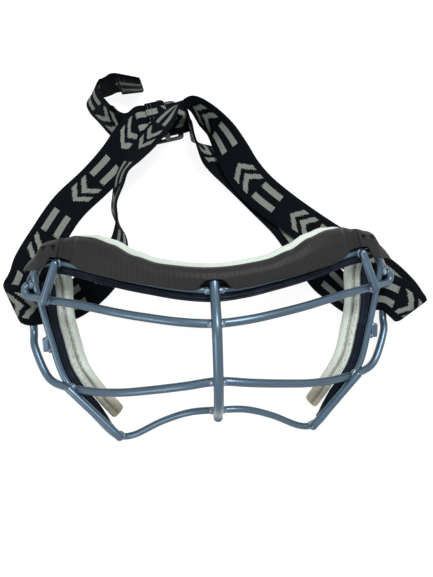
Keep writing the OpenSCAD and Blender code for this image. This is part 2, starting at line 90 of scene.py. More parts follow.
def flip(p):
    """Mirror image across the middle plane: x turns to minus x."""
    return np.asarray(p, float) * np.array([-1, 1, 1])


# ---------------------------------------------------------------- settings
def span(name, text, default, low, high):
    """Setting for a length in millimetres."""
    return FloatProperty(name=name, description=text + " in mm", default=default, min=low, max=high)


def swatch(name, text, code):
    """Setting for a colour."""
    return FloatVectorProperty(name=name, description=text, default=tint(code), subtype="COLOR", size=3,
                               min=0, max=1)


class GogglesSizes(bpy.types.PropertyGroup):
    """Sizes that a user would change"""
    rim_d: span("Rim wire", "Diameter of the rim wire", 3.2, 2.6, 4)
    wire_d: span("Bars", "Diameter of the cross bars", 3.8, 3, 4.4)
    centre_d: span("Centre bar", "Diameter of the centre bar", 4.4, 3.6, 5.2)
    bead: span("Weld bead", "Radius of a weld bead", 2.3, 1, 3)
    strap_w: span("Webbing width", "Width of the webbing", 20, 18, 21)
    strap_t: span("Webbing thickness", "Thickness of the webbing", 1.3, 1, 1.5)
    pad_t: span("Pad thickness", "Thickness of the foam pads", 7.5, 6, 8)
    groove: span("Sewn groove", "Depth of the pads' sewn groove", 1.5, 0, 2.5)
    wire_sides: IntProperty(name="Wire sides", description="Faces round a wire", default=20, min=8, max=48)


class GogglesColours(bpy.types.PropertyGroup):
    """Colours that a user would change"""
    wire: swatch("Wire", "Paint of the cage", "#425869")
    cover: swatch("Cover", "Plastic of the brow cover", "#1b1c1b")
    carrier: swatch("Carrier", "Rubber of the pad carrier", "#08101c")
    pad: swatch("Pad", "Cloth of the foam pads", "#cdd8cf")
    stain: swatch("Stain", "Soiled ends of the pads", "#7a6a45")
    webbing: swatch("Webbing", "Ground yarn of the webbing", "#06080d")
    woven: swatch("Woven marks", "Light yarn of the webbing", "#7f857f")
    slide: swatch("Slide", "Plastic of the slide", "#26272b")


# ---------------------------------------------------------------- curves
def curve(points, n, closed=False):
    """Smooth curve through all the points, n steps to a span: each span blends four neighbours by
    the Catmull-Rom cubic."""
    p = np.asarray(points, float)
    m = len(p) if closed else len(p) - 1
    i = np.repeat(np.arange(m), n)
    t = np.tile(np.arange(n) / n, m)[:, None]
    a, b, c, d = (p[(i + k) % m if closed else np.clip(i + k, 0, m)] for k in (-1, 0, 1, 2))
    q = 0.5 * (2 * b + (c - a) * t + (2 * a - 5 * b + 4 * c - d) * t ** 2
               + (3 * b - a - 3 * c + d) * t ** 3)
    return q if closed else np.vstack([q, p[-1:]])


def headings(p, closed=False):
    """Unit direction of a path at each of its points, from its two neighbours."""
    if closed:
        return unit(np.roll(p, -1, 0) - np.roll(p, 1, 0))
    q = np.vstack([p[:1], p, p[-1:]])
    return unit(q[2:] - q[:-2])


def reach(p):
    """Length of a path from its start to each of its points."""
    return np.concatenate([[0], np.cumsum(np.linalg.norm(np.diff(p, axis=0), axis=-1))])


def eased(table, x):
    """Value at x between the pairs of a table, eased by 3s^2 - 2s^3 within each pair."""
    xs, ys = np.array(table, float).T
    x = np.clip(x, xs[0], xs[-1])
    i = np.clip(np.searchsorted(xs, x, "right") - 1, 0, len(xs) - 2)
    s = (x - xs[i]) / (xs[i + 1] - xs[i])
    return ys[i] + (ys[i + 1] - ys[i]) * s * s * (3 - 2 * s)


def straight(table, x):
    """Value at x on the straight lines between the pairs of a table."""
    return np.interp(x, *np.array(table, float).T)


def sampled(x, xs, points):
    """Points at x on the straight lines between points that stand at xs."""
    return np.stack([np.interp(x, xs, points[:, k]) for k in range(3)], -1)


def whole(half):
    """The right half of a curve, from the middle out, joined to its mirror image."""
    half = np.asarray(half, float)
    return np.vstack([flip(half[1:])[::-1], half])


def circle(n):
    """Angles of n equal steps round a circle."""
    return np.linspace(0, 2 * math.pi, n, endpoint=False)


def squared(v, power):
    """Sine or cosine pushed out towards plus or minus one by the power 2 over power: the sides of a
    superellipse."""
    return np.sign(v) * np.abs(v) ** (2 / power)


# ---------------------------------------------------------------- meshes
def piece(name, verts, faces, body, uv=None, smooth=True):
    """Mesh object in metres from vertices in millimetres, riding on its body."""
    mesh = bpy.data.meshes.new(name)
    mesh.from_pydata((np.asarray(verts) * MM).tolist(), [], faces)
    mesh.polygons.foreach_set("use_smooth", [smooth] * len(mesh.polygons))
    if uv is not None:
        layer = mesh.uv_layers.new(name="cut")
        loops = np.empty(len(mesh.loops), np.int64)
        mesh.loops.foreach_get("vertex_index", loops)
        layer.data.foreach_set("uv", np.asarray(uv, float)[loops].ravel())
    mesh.update()
    obj = bpy.data.objects.new(name, mesh)
    bpy.context.scene.collection.objects.link(obj)
    if body:
        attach(obj, body)
    return obj


def skin(rings, closed=False, turned=False):
    """Vertices and faces of a skin over equal rings, one after another. An open skin gets a face on
    its first and last ring; a turned one has its faces the other way round."""
    rings = np.asarray(rings)
    rows, cols = rings.shape[:2]
    i, j = np.meshgrid(np.arange(rows if closed else rows - 1), np.arange(cols), indexing="ij")
    k, m = (i + 1) % rows, (j + 1) % cols
    faces = np.stack([i * cols + j, i * cols + m, k * cols + m, k * cols + j], -1).reshape(-1, 4).tolist()
    if not closed:
        faces += [list(range(cols))[::-1], list(range((rows - 1) * cols, rows * cols))]
    return rings.reshape(-1, 3), [f[::-1] for f in faces] if turned else faces


def joined(parts):
    """Several skins as one list of vertices and faces."""
    verts, faces, start = [], [], 0
    for v, f in parts:
        verts.append(v)
        faces += [[q + start for q in face] for face in f]
        start += len(v)
    return np.vstack(verts), faces


def wire_rings(path, radius, ref, sides, closed=False, dome=(0.5, 4, 0.94), head=True):
    """Circle carried along a path: r cos g along (heading x ref), r sin g along the rest. The dome's
    share, steps and part round off an open end: the radius falls as cos h and the centre moves out
    by that share of r sin h, for h up to that part of a quarter turn. Without a head, only the far
    end is domed."""
    t = headings(path, closed)
    r = np.full(len(path), float(radius))
    if not closed:
        share, steps, part = dome
        h = np.linspace(0, math.pi / 2 * part, steps + 1)[1:]
        out, less = (radius * share * np.sin(h))[:, None], radius * np.cos(h)
        path, r = np.vstack([path, path[-1:] + t[-1:] * out]), np.concatenate([r, less])
        t = np.vstack([t, np.repeat(t[-1:], steps, 0)])
        if head:
            path, r = np.vstack([path[:1] - t[:1] * out[::-1], path]), np.concatenate([less[::-1], r])
            t = np.vstack([np.repeat(t[:1], steps, 0), t])
    a = unit(np.cross(t, np.asarray(ref, float)))
    b = np.cross(t, a)
    g = circle(sides)[None, :, None]
    return path[:, None] + r[:, None, None] * (np.cos(g) * a[:, None] + np.sin(g) * b[:, None])


def ball(rows, cols, margin=0.02):
    """Directions (sin u cos v, sin u sin v, cos u) in rings from pole to pole, and both angles."""
    u, v = np.meshgrid(np.linspace(margin, math.pi - margin, rows), circle(cols), indexing="ij")
    return np.stack([np.sin(u) * np.cos(v), np.sin(u) * np.sin(v), np.cos(u)], -1), u, v


def bead(centre, axis, radius, seed, flat):
    """Weld bead: a ball drawn out across its axis, rippled by two low sine waves."""
    way, u, v = ball(12, 18)
    ripple = 1 + 0.05 * np.sin(5 * v + seed) * np.sin(u) + 0.04 * np.sin(7 * u + 2 * seed)
    z = unit(np.asarray(axis, float))
    x = unit(np.cross(z, [0.31, 0.9, 0.22]))
    local = way * [1, 1, flat] * (radius * ripple)[..., None]
    return skin(centre + local @ np.stack([x, np.cross(z, x), z]))


def plate(centre, half):
    """Small pressed plate: a superellipsoid of the eighth power, flat on its sides and soft at its
    edges, with the given half sizes."""
    way = ball(24, 48)[0]
    return skin(lay(centre + way * (np.abs(way) ** 8).sum(-1, keepdims=True) ** -0.125 * half))


def thread(at, along, up):
    """One stitch: an ellipsoid 1.6 mm long and 0.4 mm thick lying along the row."""
    local = ball(5, 6, 0.1)[0] @ np.stack([np.cross(along, up) * 0.22, up * 0.2, along * 0.8])
    return skin(at + local + up * 0.06)


def rounded(poly, radius, steps, counts):
    """Closed section with its corners eased: each corner becomes a quadratic arc between two points
    at radius from it, and each side between arcs is cut into its count of equal parts."""
    def toward(start, end):
        """Point at radius from the start, or nearer where the side is short."""
        length = np.linalg.norm(end - start, axis=-1, keepdims=True)
        return start + (end - start) / length * np.minimum(radius, length * 0.4)

    out = []
    n = poly.shape[1]
    t = np.linspace(0, 1, steps)[None, :, None]
    for k in range(n):
        here, before, after = poly[:, k], poly[:, k - 1], poly[:, (k + 1) % n]
        a, b, c = toward(here, before), toward(here, after), toward(after, here)
        out.append((1 - t) ** 2 * a[:, None] + 2 * t * (1 - t) * here[:, None] + t ** 2 * b[:, None])
        u = np.linspace(0, 1, counts[k] + 1)[1:-1][None, :, None]
        out.append(b[:, None] * (1 - u) + c[:, None] * u)
    return np.concatenate(out, 1)


# ---------------------------------------------------------------- shared places
# Middle lines of the wires, right half, in the worn frame: x to the side, y up, z forwards. The rim
# is the brow, side and base parts in turn
BROW_HALF = np.array([
    [0, -0.8, 0], [14, 0.4, -0.8], [27, 2.7, -3], [39, 5, -6], [49, 7.3, -9.2], [60, 9.8, -14],
    [70, 11.4, -18.6], [78.5, 10.8, -23.2]
])
SIDE_HALF = np.array([
    [84, 6.6, -27], [85, 0.4, -28], [83, -10, -27.4], [79, -27.5, -25], [73.6, -45.5, -22.2], [62, -60, -18]
])
BASE_HALF = np.array([
    [51, -71, -14], [46, -73, -13], [39, -71.6, -12], [26, -63.8, -8], [13, -58, -3.6], [0, -56.8, -2]
])
STRAP_BAR_X, STRAP_BAR_BACK, BEND_TOP, BEND_LOW = 91.0, 36.4, 0.6, -22.4
# How far two welded wires sink into each other, and from the rim's axis to a bar's where they meet
WELD_SINK, MEET = 0.25, 3.25
TAB_SEAT, TAB_SIZE = np.array([81.7, -29, -25]), np.array([3, 7, 2.4])
TAB_WELDS = [[80.9, -26, -25.1], [79.9, -31.8, -24.8]]
UPPER_HALF = np.array([
    [0, -13.2, 9], [14, -12.4, 7.7], [28, -10.9, 4], [42, -9.2, -1], [60, -6.8, -9.4], [78, -5.5, -19.2],
    [84.2, -5.3, -23.5], [87.6, -5.1, -25.8], [89.8, -3.4, -27], [89.6, -0.9, -27.5],
    [85 + MEET * 0.98, 0.4, -28 + MEET * 0.2]
])
LOWER_HALF = np.array([
    [0, -38.4, 9.4], [14, -40.4, 7.9], [28, -43.2, 3.6], [43, -46.2, -2.4], [58, -48.4, -10.6],
    [71.5, -49, -18.6], [82, -45.6, -24.4], [89.4, BEND_LOW - 10, -31], [91, BEND_LOW - 3.4, -35.8],
    [91, BEND_LOW + 1.6, -36.4], [91, (BEND_TOP + BEND_LOW) / 2, -36.4], [90.7, BEND_TOP - 1, -36.4],
    [88.4, BEND_TOP + 2.8, -34.2], [84 + MEET * 0.34, 6.6, -27 - MEET * 0.94]
])


def proud(p, q, d):
    """Point at distance d in front of p, square to the line from p to q and to the upright."""
    return p + d * unit(np.cross(q - p, [0, 1, 0]))


def cage_places(s):
    """Ends of the side links and cheek bars, from the wires' radii, and the points of the cross
    bars that they stand on."""
    rim_step = (s.rim_d + s.wire_d) / 2 - WELD_SINK
    link_top = proud(BROW_HALF[6], BROW_HALF[7], rim_step) - np.array([0.6, 0, 0])
    link_base = UPPER_HALF[5] * 0.88 + UPPER_HALF[4] * 0.12
    link_foot = proud(link_base, link_base + UPPER_HALF[5] - UPPER_HALF[4], s.wire_d - WELD_SINK)
    cheek_base = LOWER_HALF[5] * 0.7 + LOWER_HALF[4] * 0.3 + np.array([0, 1.2, 0])
    cheek_top = proud(cheek_base, cheek_base + LOWER_HALF[5] - LOWER_HALF[4], s.wire_d - WELD_SINK)
    cheek_foot = BASE_HALF[1] + np.array([0.6, 1.4, rim_step])
    return link_top, link_foot, cheek_top, cheek_foot, link_base, cheek_base


# ---------------------------------------------------------------- shader maths
class Signal:
    """A number that varies over a surface; arithmetic on it adds Math nodes."""

    def __init__(self, board, socket):
        self.board, self.socket = board, socket

    def math(self, operation, *others, clamp=False):
        return self.board.math(operation, self, *others, clamp=clamp)

    def __add__(self, o): return self.math("ADD", o)
    def __radd__(self, o): return self.math("ADD", o)
    def __sub__(self, o): return self.math("SUBTRACT", o)
    def __rsub__(self, o): return self.board.math("SUBTRACT", o, self)
    def __mul__(self, o): return self.math("MULTIPLY", o)
    def __rmul__(self, o): return self.math("MULTIPLY", o)
    def __truediv__(self, o): return self.math("DIVIDE", o)
    def __rtruediv__(self, o): return self.board.math("DIVIDE", o, self)
    def __mod__(self, o): return self.math("FLOORED_MODULO", o)
    def __abs__(self): return self.math("ABSOLUTE")
    def __lt__(self, o): return self.math("LESS_THAN", o)
    def __gt__(self, o): return self.math("GREATER_THAN", o)
    def floor(self): return self.math("FLOOR")
    def sin(self): return self.math("SINE")
    def most(self, o): return self.math("MAXIMUM", o)
    def held(self): return self.math("ADD", 0.0, clamp=True)

    def ramp(self, low, high):
        """0 below low, 1 above high, smooth between."""
        return self.board.node("ShaderNodeMapRange", {"interpolation_type": "SMOOTHSTEP"},
                               {"Value": self, "From Min": low, "From Max": high})


class Board:
    """A node tree: every node is added by one method and fed from numbers, colours or signals."""

    def __init__(self, tree):
        self.tree = tree

    def feed(self, slot, value):
        if isinstance(value, Signal):
            value = value.socket
        if isinstance(value, bpy.types.NodeSocket):
            self.tree.links.new(value, slot)
        elif slot.type == "RGBA" and len(value) == 3:
            slot.default_value = tuple(value) + (1.0,)
        else:
            slot.default_value = value

    def node(self, kind, settings, sockets, out=0):
        node = self.tree.nodes.new(kind)
        for key, value in settings.items():
            setattr(node, key, value)
        for key, value in sockets.items():
            self.feed(node.inputs[key], value)
        return Signal(self, node.outputs[out])

    def math(self, operation, *values, clamp=False):
        settings = {"operation": operation, "use_clamp": clamp}
        return self.node("ShaderNodeMath", settings, dict(enumerate(values)))

    def seen(self):
        """1 for rays from the camera, also by way of gloss or glass; 0 for the rays that light."""
        rays = self.node("ShaderNodeLightPath", {}, {}).socket.node.outputs
        camera, gloss, glass = (Signal(self, rays[kind]) for kind in
                                ("Is Camera Ray", "Is Glossy Ray", "Is Transmission Ray"))
        return camera.most(gloss).most(glass)


class Paint(Board):
    """One material and its shader."""

    def __init__(self, name):
        self.material = bpy.data.materials.new(name)
        self.material.use_nodes = True
        super().__init__(self.material.node_tree)
        self.shader = self.tree.nodes["Principled BSDF"]

    def place(self):
        return self.node("ShaderNodeTexCoord", {}, {}, "Object")

    def axes(self, vector):
        """A vector's three numbers."""
        first = self.node("ShaderNodeSeparateXYZ", {}, {0: vector})
        return [Signal(self, o) for o in first.socket.node.outputs]

    def cut(self):
        """The piece's own UV map as two numbers: along and across, in millimetres."""
        return self.axes(self.node("ShaderNodeUVMap", {"uv_map": "cut"}, {}, "UV"))[:2]

    def zone(self):
        """The three numbers stored at each vertex."""
        return self.axes(self.node("ShaderNodeAttribute", {"attribute_name": "zone"}, {}, "Color"))

    def noise(self, vector, scale, detail=3.0, rough=0.55):
        return self.node("ShaderNodeTexNoise", {},
                         {"Vector": vector, "Scale": scale, "Detail": detail, "Roughness": rough}, "Fac")

    def blend(self, share, first, second, way="MIX"):
        """Two colours mixed by a share from 0, the first, to 1, the second."""
        return self.node("ShaderNodeMix", {"data_type": "RGBA", "blend_type": way},
                         {0: share, 6: first, 7: second}, 2)

    def shaded(self, colour, amount):
        """Colour times a varying amount, through a Mix node set to multiply."""
        grey = self.node("ShaderNodeCombineColor", {}, {"Red": amount, "Green": amount, "Blue": amount})
        return self.blend(1.0, colour, grey, "MULTIPLY")

    def bump(self, height, distance, strength=1.0):
        return self.node("ShaderNodeBump", {},
                         {"Strength": strength, "Distance": distance, "Height": height}, "Normal")

    def finish(self, colour, rough, normal=None, **constant):
        self.feed(self.shader.inputs["Base Color"], colour)
        self.feed(self.shader.inputs["Roughness"], rough)
        if normal is not None:
            self.feed(self.shader.inputs["Normal"], normal)
        for key, value in constant.items():
            self.feed(self.shader.inputs[key.replace("_", " ")], value)
        return self.material


# ---------------------------------------------------------------- finishes
def wire_paint(c):
    """Satin blue-grey paint on steel: fine orange peel, cloudy tone, small scuffs to bright metal."""
    p = Paint("wire_paint")
    at = p.place()
    cloud = p.noise(at, 90.0, 4.0)
    peel = p.noise(at, 1700.0, 2.0)
    scuff = p.noise(at, 420.0, 5.0, 0.7).ramp(0.66, 0.74) * p.noise(at, 60.0, 2.0).ramp(0.5, 0.62)
    base = p.shaded(tuple(c.wire), cloud * 0.5 + 0.76)
    colour = p.blend(scuff * 0.55, base, tint("#aab6c0"))
    rough = 0.26 + cloud * 0.12 - scuff * 0.1
    return p.finish(colour, rough, p.bump(peel, 0.00005, 0.4),
                    Metallic=0.6, Coat_Weight=0.3, Coat_Roughness=0.2)


def weld_paint_and_highlight(c):
    """The same paint over a weld, brighter as painted highlight for the glints on the welds; the silver spots
    are partly bare metal, partly painted glint.
    """
    p = Paint("weld_paint_and_highlight")
    at = p.place()
    spot = p.noise(at, 620.0, 4.0, 0.65).ramp(0.48, 0.66)
    # Brighter base and silver spots: painted highlight of the glints at the welds, the spots partly bare
    # metal
    colour = p.blend(spot, tint("#566879"), tint("#a3b2c0"))
    return p.finish(colour, 0.36 - spot * 0.1, p.bump(p.noise(at, 900.0, 3.0), 0.00012, 0.6), Metallic=0.6)


def cover_plastic(c):
    """Charcoal moulded plastic: pebble grain outside, twill lines on the middle panel, rubbed edges, and near
    black in the corner slots as painted shade.
    """
    p = Paint("cover_plastic")
    at = p.place()
    x, up = p.cut()
    panel, hole, edge = p.zone()
    line = ((x + up * 0.25) * (2 * math.pi / 2.1)).sin()
    cross = ((x * 0.3 - up) * (2 * math.pi / 1.05)).sin()
    twill = (line * 0.5 + 0.5) * 0.7 + (cross * 0.5 + 0.5) * 0.3
    grain = p.noise(at, 2600.0, 2.0)
    cloud = p.noise(at, 55.0, 4.0)
    height = panel * twill + (1 - panel) * grain * 0.6 + p.noise(at, 700.0, 3.0) * 0.35
    tone = cloud * 0.34 + 0.83 + panel * (twill * 0.26 - 0.13) + edge * 0.35
    # Inside a slot the colour is near black: painted shade, as the slot is only sunk and not cut through
    colour = p.blend(hole, p.shaded(tuple(c.cover), tone), (0.002, 0.002, 0.003))
    rough = 0.52 + cloud * 0.14 - edge * 0.1 - panel * twill * 0.08
    return p.finish(colour, rough, p.bump(height, 0.00012, 0.55), Specular_IOR_Level=0.18)


def carrier_rubber(c):
    """Navy-black moulded rubber with a faint bloom and fine grain."""
    p = Paint("carrier_rubber")
    at = p.place()
    bloom = p.noise(at, 120.0, 4.0).ramp(0.45, 0.7)
    colour = p.blend(bloom * 0.3, tuple(c.carrier), tint("#2a3852"))
    grain = p.bump(p.noise(at, 1500.0, 3.0), 0.00005, 0.4)
    return p.finish(colour, 0.5 - bloom * 0.1, grain, Specular_IOR_Level=0.12)


def pad_cloth(c):
    """Pale knitted cloth over foam: fine knit, a dark brown line along the seam, painted shade in the sewn
    groove and along the stitch rows, soiled towards the ends.
    """
    p = Paint("pad_cloth")
    at = p.place()
    seam, soil, low = p.zone()
    knit = p.node("ShaderNodeTexVoronoi", {"feature": "F1"}, {"Vector": at, "Scale": 1500.0}, "Distance")
    cloud = p.noise(at, 70.0, 5.0)
    patch = (soil * 1.5 + p.noise(at, 240.0, 4.0) * 0.9 - 0.75).held()
    # The third number darkens the cloth in the sewn groove and along the stitch rows: painted shade
    base = p.shaded(tuple(c.pad), cloud * 0.26 + 0.88 - knit * 0.14 - low * 0.16)
    worn = p.blend(patch * 0.65, base, tuple(c.stain))
    colour = p.blend(seam * (p.noise(at, 160.0, 3.0) * 0.9 + 0.4).held(), worn, tint("#5a4d36"))
    height = knit * 0.8 + p.noise(at, 500.0, 3.0)
    return p.finish(colour, 0.86 - seam * 0.1, p.bump(height, 0.00018, 0.6),
                    Sheen_Weight=0.25, Sheen_Roughness=0.5)


def webbing_cloth(c):
    """Elastic webbing: cross ribs and warp lines, a painted highlight along both edges, and woven chevrons
    and double bars.
    Along and across are stepped to the yarn, so that the marks have woven edges."""
    p = Paint("webbing_cloth")
    along, across = p.cut()
    at = p.place()
    rib = ((along * (2 * math.pi / 0.95)).sin() * 0.5 + 0.5)
    warp = ((across * (2 * math.pi / 0.8)).sin() * 0.5 + 0.5)
    ragged = (p.noise(at, 1400.0, 1.0) - 0.5) * 1.1
    a = ((along / 0.8).floor() * 0.8 + ragged) % 40.0
    b = abs((across / 0.7).floor() * 0.7 + 0.35) + ragged * 0.3
    inside = b < 6.0
    slant = a - b * 0.9
    chevron = (abs(slant - 3.4) < 1.75).most(abs(slant - 10.2) < 1.75)
    bars = (abs(a - 26.5) < 6.6) * (abs(b - 3.9) < 1.95)
    mark = inside * chevron.most(bars)
    fleck = p.noise(at, 900.0, 3.0, 0.6)
    # The strip along each edge is lighter: painted highlight where the edge catches the light
    edge = b > 8.9
    ground = p.shaded(tuple(c.webbing), rib * 0.5 + 0.6 + fleck * 0.5 + edge * 0.5)
    light = p.shaded(tuple(c.woven), rib * 0.3 + 0.55 + fleck * 0.45)
    colour = p.blend(mark * (0.86 + warp * 0.12), ground, light)
    height = rib * 0.7 + warp * 0.35 + mark * 0.35 + fleck * 0.3
    return p.finish(colour, 0.74 - mark * 0.1, p.bump(height, 0.00022, 0.7), Specular_IOR_Level=0.04)


def slide_plastic(c):
    """Dark moulded plastic, softly glossy, with fine flow marks."""
    p = Paint("slide_plastic")
    at = p.place()
    flow = p.noise(at, 300.0, 4.0)
    colour = p.shaded(tuple(c.slide), flow * 0.5 + 0.78)
    return p.finish(colour, 0.3 + flow * 0.16, p.bump(p.noise(at, 1400.0, 2.0), 0.00005, 0.4))


def thread_cloth(name, colour):
    """Twisted sewing thread: light and dark along a fine slant."""
    p = Paint(name)
    x, y, z = p.axes(p.place())
    twist = ((x + y + z) * 9000.0).sin() * 0.5 + 0.5
    return p.finish(p.shaded(colour, twist * 0.4 + 0.75), 0.7 - twist * 0.1, p.bump(twist, 0.00006, 0.5))


def pad_thread(c):
    """Pale grey-green thread of the pads."""
    return thread_cloth("pad_thread", tint("#9aa59b"))


def strap_thread(c):
    """Slate thread of the webbing."""
    return thread_cloth("strap_thread", tint("#39414d"))


MAKERS = {make.__name__: make for make in (wire_paint, weld_paint_and_highlight, cover_plastic, carrier_rubber, pad_cloth,
                                           webbing_cloth, slide_plastic, pad_thread, strap_thread)}
MADE = {}


def coat(obj, name):
    """Gives a piece its material, made once."""
    if name not in MADE:
        MADE[name] = MAKERS[name](bpy.context.scene.goggles_colours)
    obj.data.materials.clear()
    obj.data.materials.append(MADE[name])
    return obj


def fit(name, form, material, slot, *nodes, body="goggles", uv=None):
    """Finished piece: its form, its material, and the nodes that it stands for; the slot is not used."""
    obj = coat(piece(name, *form, body, uv), material)
    if nodes:
        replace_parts(obj, *nodes)
    return obj


def zones(obj, values):
    """Stores three numbers at each vertex, read by the material as the attribute zone."""
    layer = obj.data.color_attributes.new("zone", "FLOAT_COLOR", "POINT")
    full = np.ones((len(values), 4))
    full[:, :3] = values
    layer.data.foreach_set("color", full.ravel())


# ---------------------------------------------------------------- cage
class GOGGLES_OT_cage(bpy.types.Operator):
    """Round wires of the cage on the frame's own lines, with a bead at each weld"""
    bl_idname = "goggles.cage"
    bl_label = "Cage wires"

    def execute(self, context):
        s = context.scene.goggles_sizes
        rim_r, wire_r, centre_r, sides = s.rim_d / 2, s.wire_d / 2, s.centre_d / 2, s.wire_sides

        def wire(node, rings, closed=False):
            """One wire of the cage, in place of its node."""
            fit(node + "_round", skin(rings, closed), "wire_paint", "wire_paint", node)

        half = np.vstack([BROW_HALF, SIDE_HALF, BASE_HALF])
        ring = np.vstack([half, flip(half[1:-1])[::-1]])
        wire("rim_wire", wire_rings(lay(curve(ring, 8, True)), rim_r, FORWARD, 16, True), True)
        wire("upper_bar", wire_rings(lay(curve(whole(UPPER_HALF), 10)), wire_r, FORWARD, sides))
        wire("lower_bar", wire_rings(lay(curve(whole(LOWER_HALF), 10)), wire_r, FORWARD, sides))
        # The centre bar lies in front of each wire that it crosses, by both radii less the weld
        step, rim_step = (np.array([0, 0, centre_r + r - WELD_SINK]) for r in (wire_r, rim_r))
        brow, base = BROW_HALF[0] + rim_step, BASE_HALF[5] + rim_step
        centre = np.array([brow + [0, 4, -2.2], brow, UPPER_HALF[0] + step, step + [0, -26, 10.3],
                           LOWER_HALF[0] + step, [0, -49.5, 9], base, base + [0, -2.6, -1.6]])
        rings = wire_rings(curve(centre, 10), centre_r, [1, 0, 0], 24, dome=(0.95, 6, 0.95), head=False)
        wire("centre_bar", lay(rings))
        link_top, link_foot, cheek_top, cheek_foot, link_base, cheek_base = cage_places(s)
        for side, turn in SIDES:
            for name, top, foot in (("side_link", link_top, link_foot), ("cheek_bar", cheek_top, cheek_foot)):
                line = np.linspace(top * turn, foot * turn, 9)
                wire(side + "_" + name, lay(wire_rings(line, wire_r, [1, 0, 0.2], sides, dome=(1, 5, 0.95))))
        # Weld beads: each is a place, an axis, a radius and how flat it is along the axis
        spots = []
        for _, turn in SIDES:
            for one, other in ((link_top, BROW_HALF[6] - [0.6, 0, 0]), (link_foot, link_base),
                               (cheek_top, cheek_base), (cheek_foot, BASE_HALF[1] + [0.6, 1.4, 0]),
                               (UPPER_HALF[-1], SIDE_HALF[1]), (LOWER_HALF[-1], SIDE_HALF[0])):
                spots.append(((one + other) / 2 * turn, (one - other) * turn, s.bead, 0.72))
            # Fillets run out along the cross wires on both sides of the centre bar
            for place, out, rise in ((BROW_HALF[0], 2.9, 0.9), (BASE_HALF[5], 2.3, 0.8),
                                     (UPPER_HALF[0], 2.1, 1.3), (LOWER_HALF[0], 2.1, 1.3)):
                spots.append(((place + [out, 0, rise]) * turn, turn * [1, 0, -0.25], s.bead * 0.68, 1.5))
            spots += [(place * turn, turn, s.bead * 0.62, 0.9) for place in TAB_WELDS]
        beads = [bead(lay(at), TURN @ axis, size, k, flat) for k, (at, axis, size, flat) in enumerate(spots)]
        fit("weld_beads", joined(beads), "weld_paint_and_highlight", "wire_paint")
        tabs = [plate(TAB_SEAT * turn, TAB_SIZE / 2) for _, turn in SIDES]
        fit("rim_tabs_pressed", joined(tabs), "wire_paint", "wire_paint", "rim_tabs")
        return {"FINISHED"}


# ---------------------------------------------------------------- brow cover
# Height above the brow line, and step of the face, against the distance from the middle
COVER_TOP = [
    [0, 9.5], [14, 9.3], [24, 9], [34, 10.4], [44, 13.4], [52, 14.4], [60, 13.6], [68, 11.2], [75, 9.7],
    [78, 9.1], [80.4, 7.9], [82.4, 7.3], [85, 7.2], [87.6, 6.5], [90.4, 5.3]
]
COVER_LOW = [
    [0, 5.3], [2.6, 5.1], [4.2, 4.3], [5.4, 2.8], [6.5, 1.2], [7.7, 0.4], [9, 0.2], [50, 0.2], [53, 0.4],
    [55.5, 0.8], [57.5, 1.5], [59, 2.2], [60.5, 2.7], [64, 3], [71, 3], [71.8, 1.4], [72.5, -0.8],
    [73.6, -2.1], [78, -2.6], [80, -2.1], [82, -0.4], [84.5, 1.2], [88, 2.5], [90.4, 3.3]
]
PANEL_STEPS = [[0, 0.3], [58.4, 0.3], [61, -2.1], [66.4, -2.1], [68.6, 0.1], [92, 0.1]]
COVER_LINE = curve(whole(np.vstack([BROW_HALF, [[84.5, 6.4, -27.6], [91.5, 3.4, -33.6]]])), 8)
COVER_END, COVER_WALL, COVER_GAP, COVER_BACK = 90.4, 2.0, 0.35, -3.4
NOTCH_END, PANEL_END = 9, 58.9
# Corner slots: distance from the middle, height and size
HOLES = [(71.2, 7.4, 1.9), (76.6, 7.0, 1.9)]


def guide(x):
    """Point of the brow line at x, straight between its steps."""
    return sampled(x, COVER_LINE[:, 0], COVER_LINE)


def climb(v, low, width):
    """0 below low, rising evenly to 1 over the width."""
    return np.clip((v - low) / width, 0, 1)


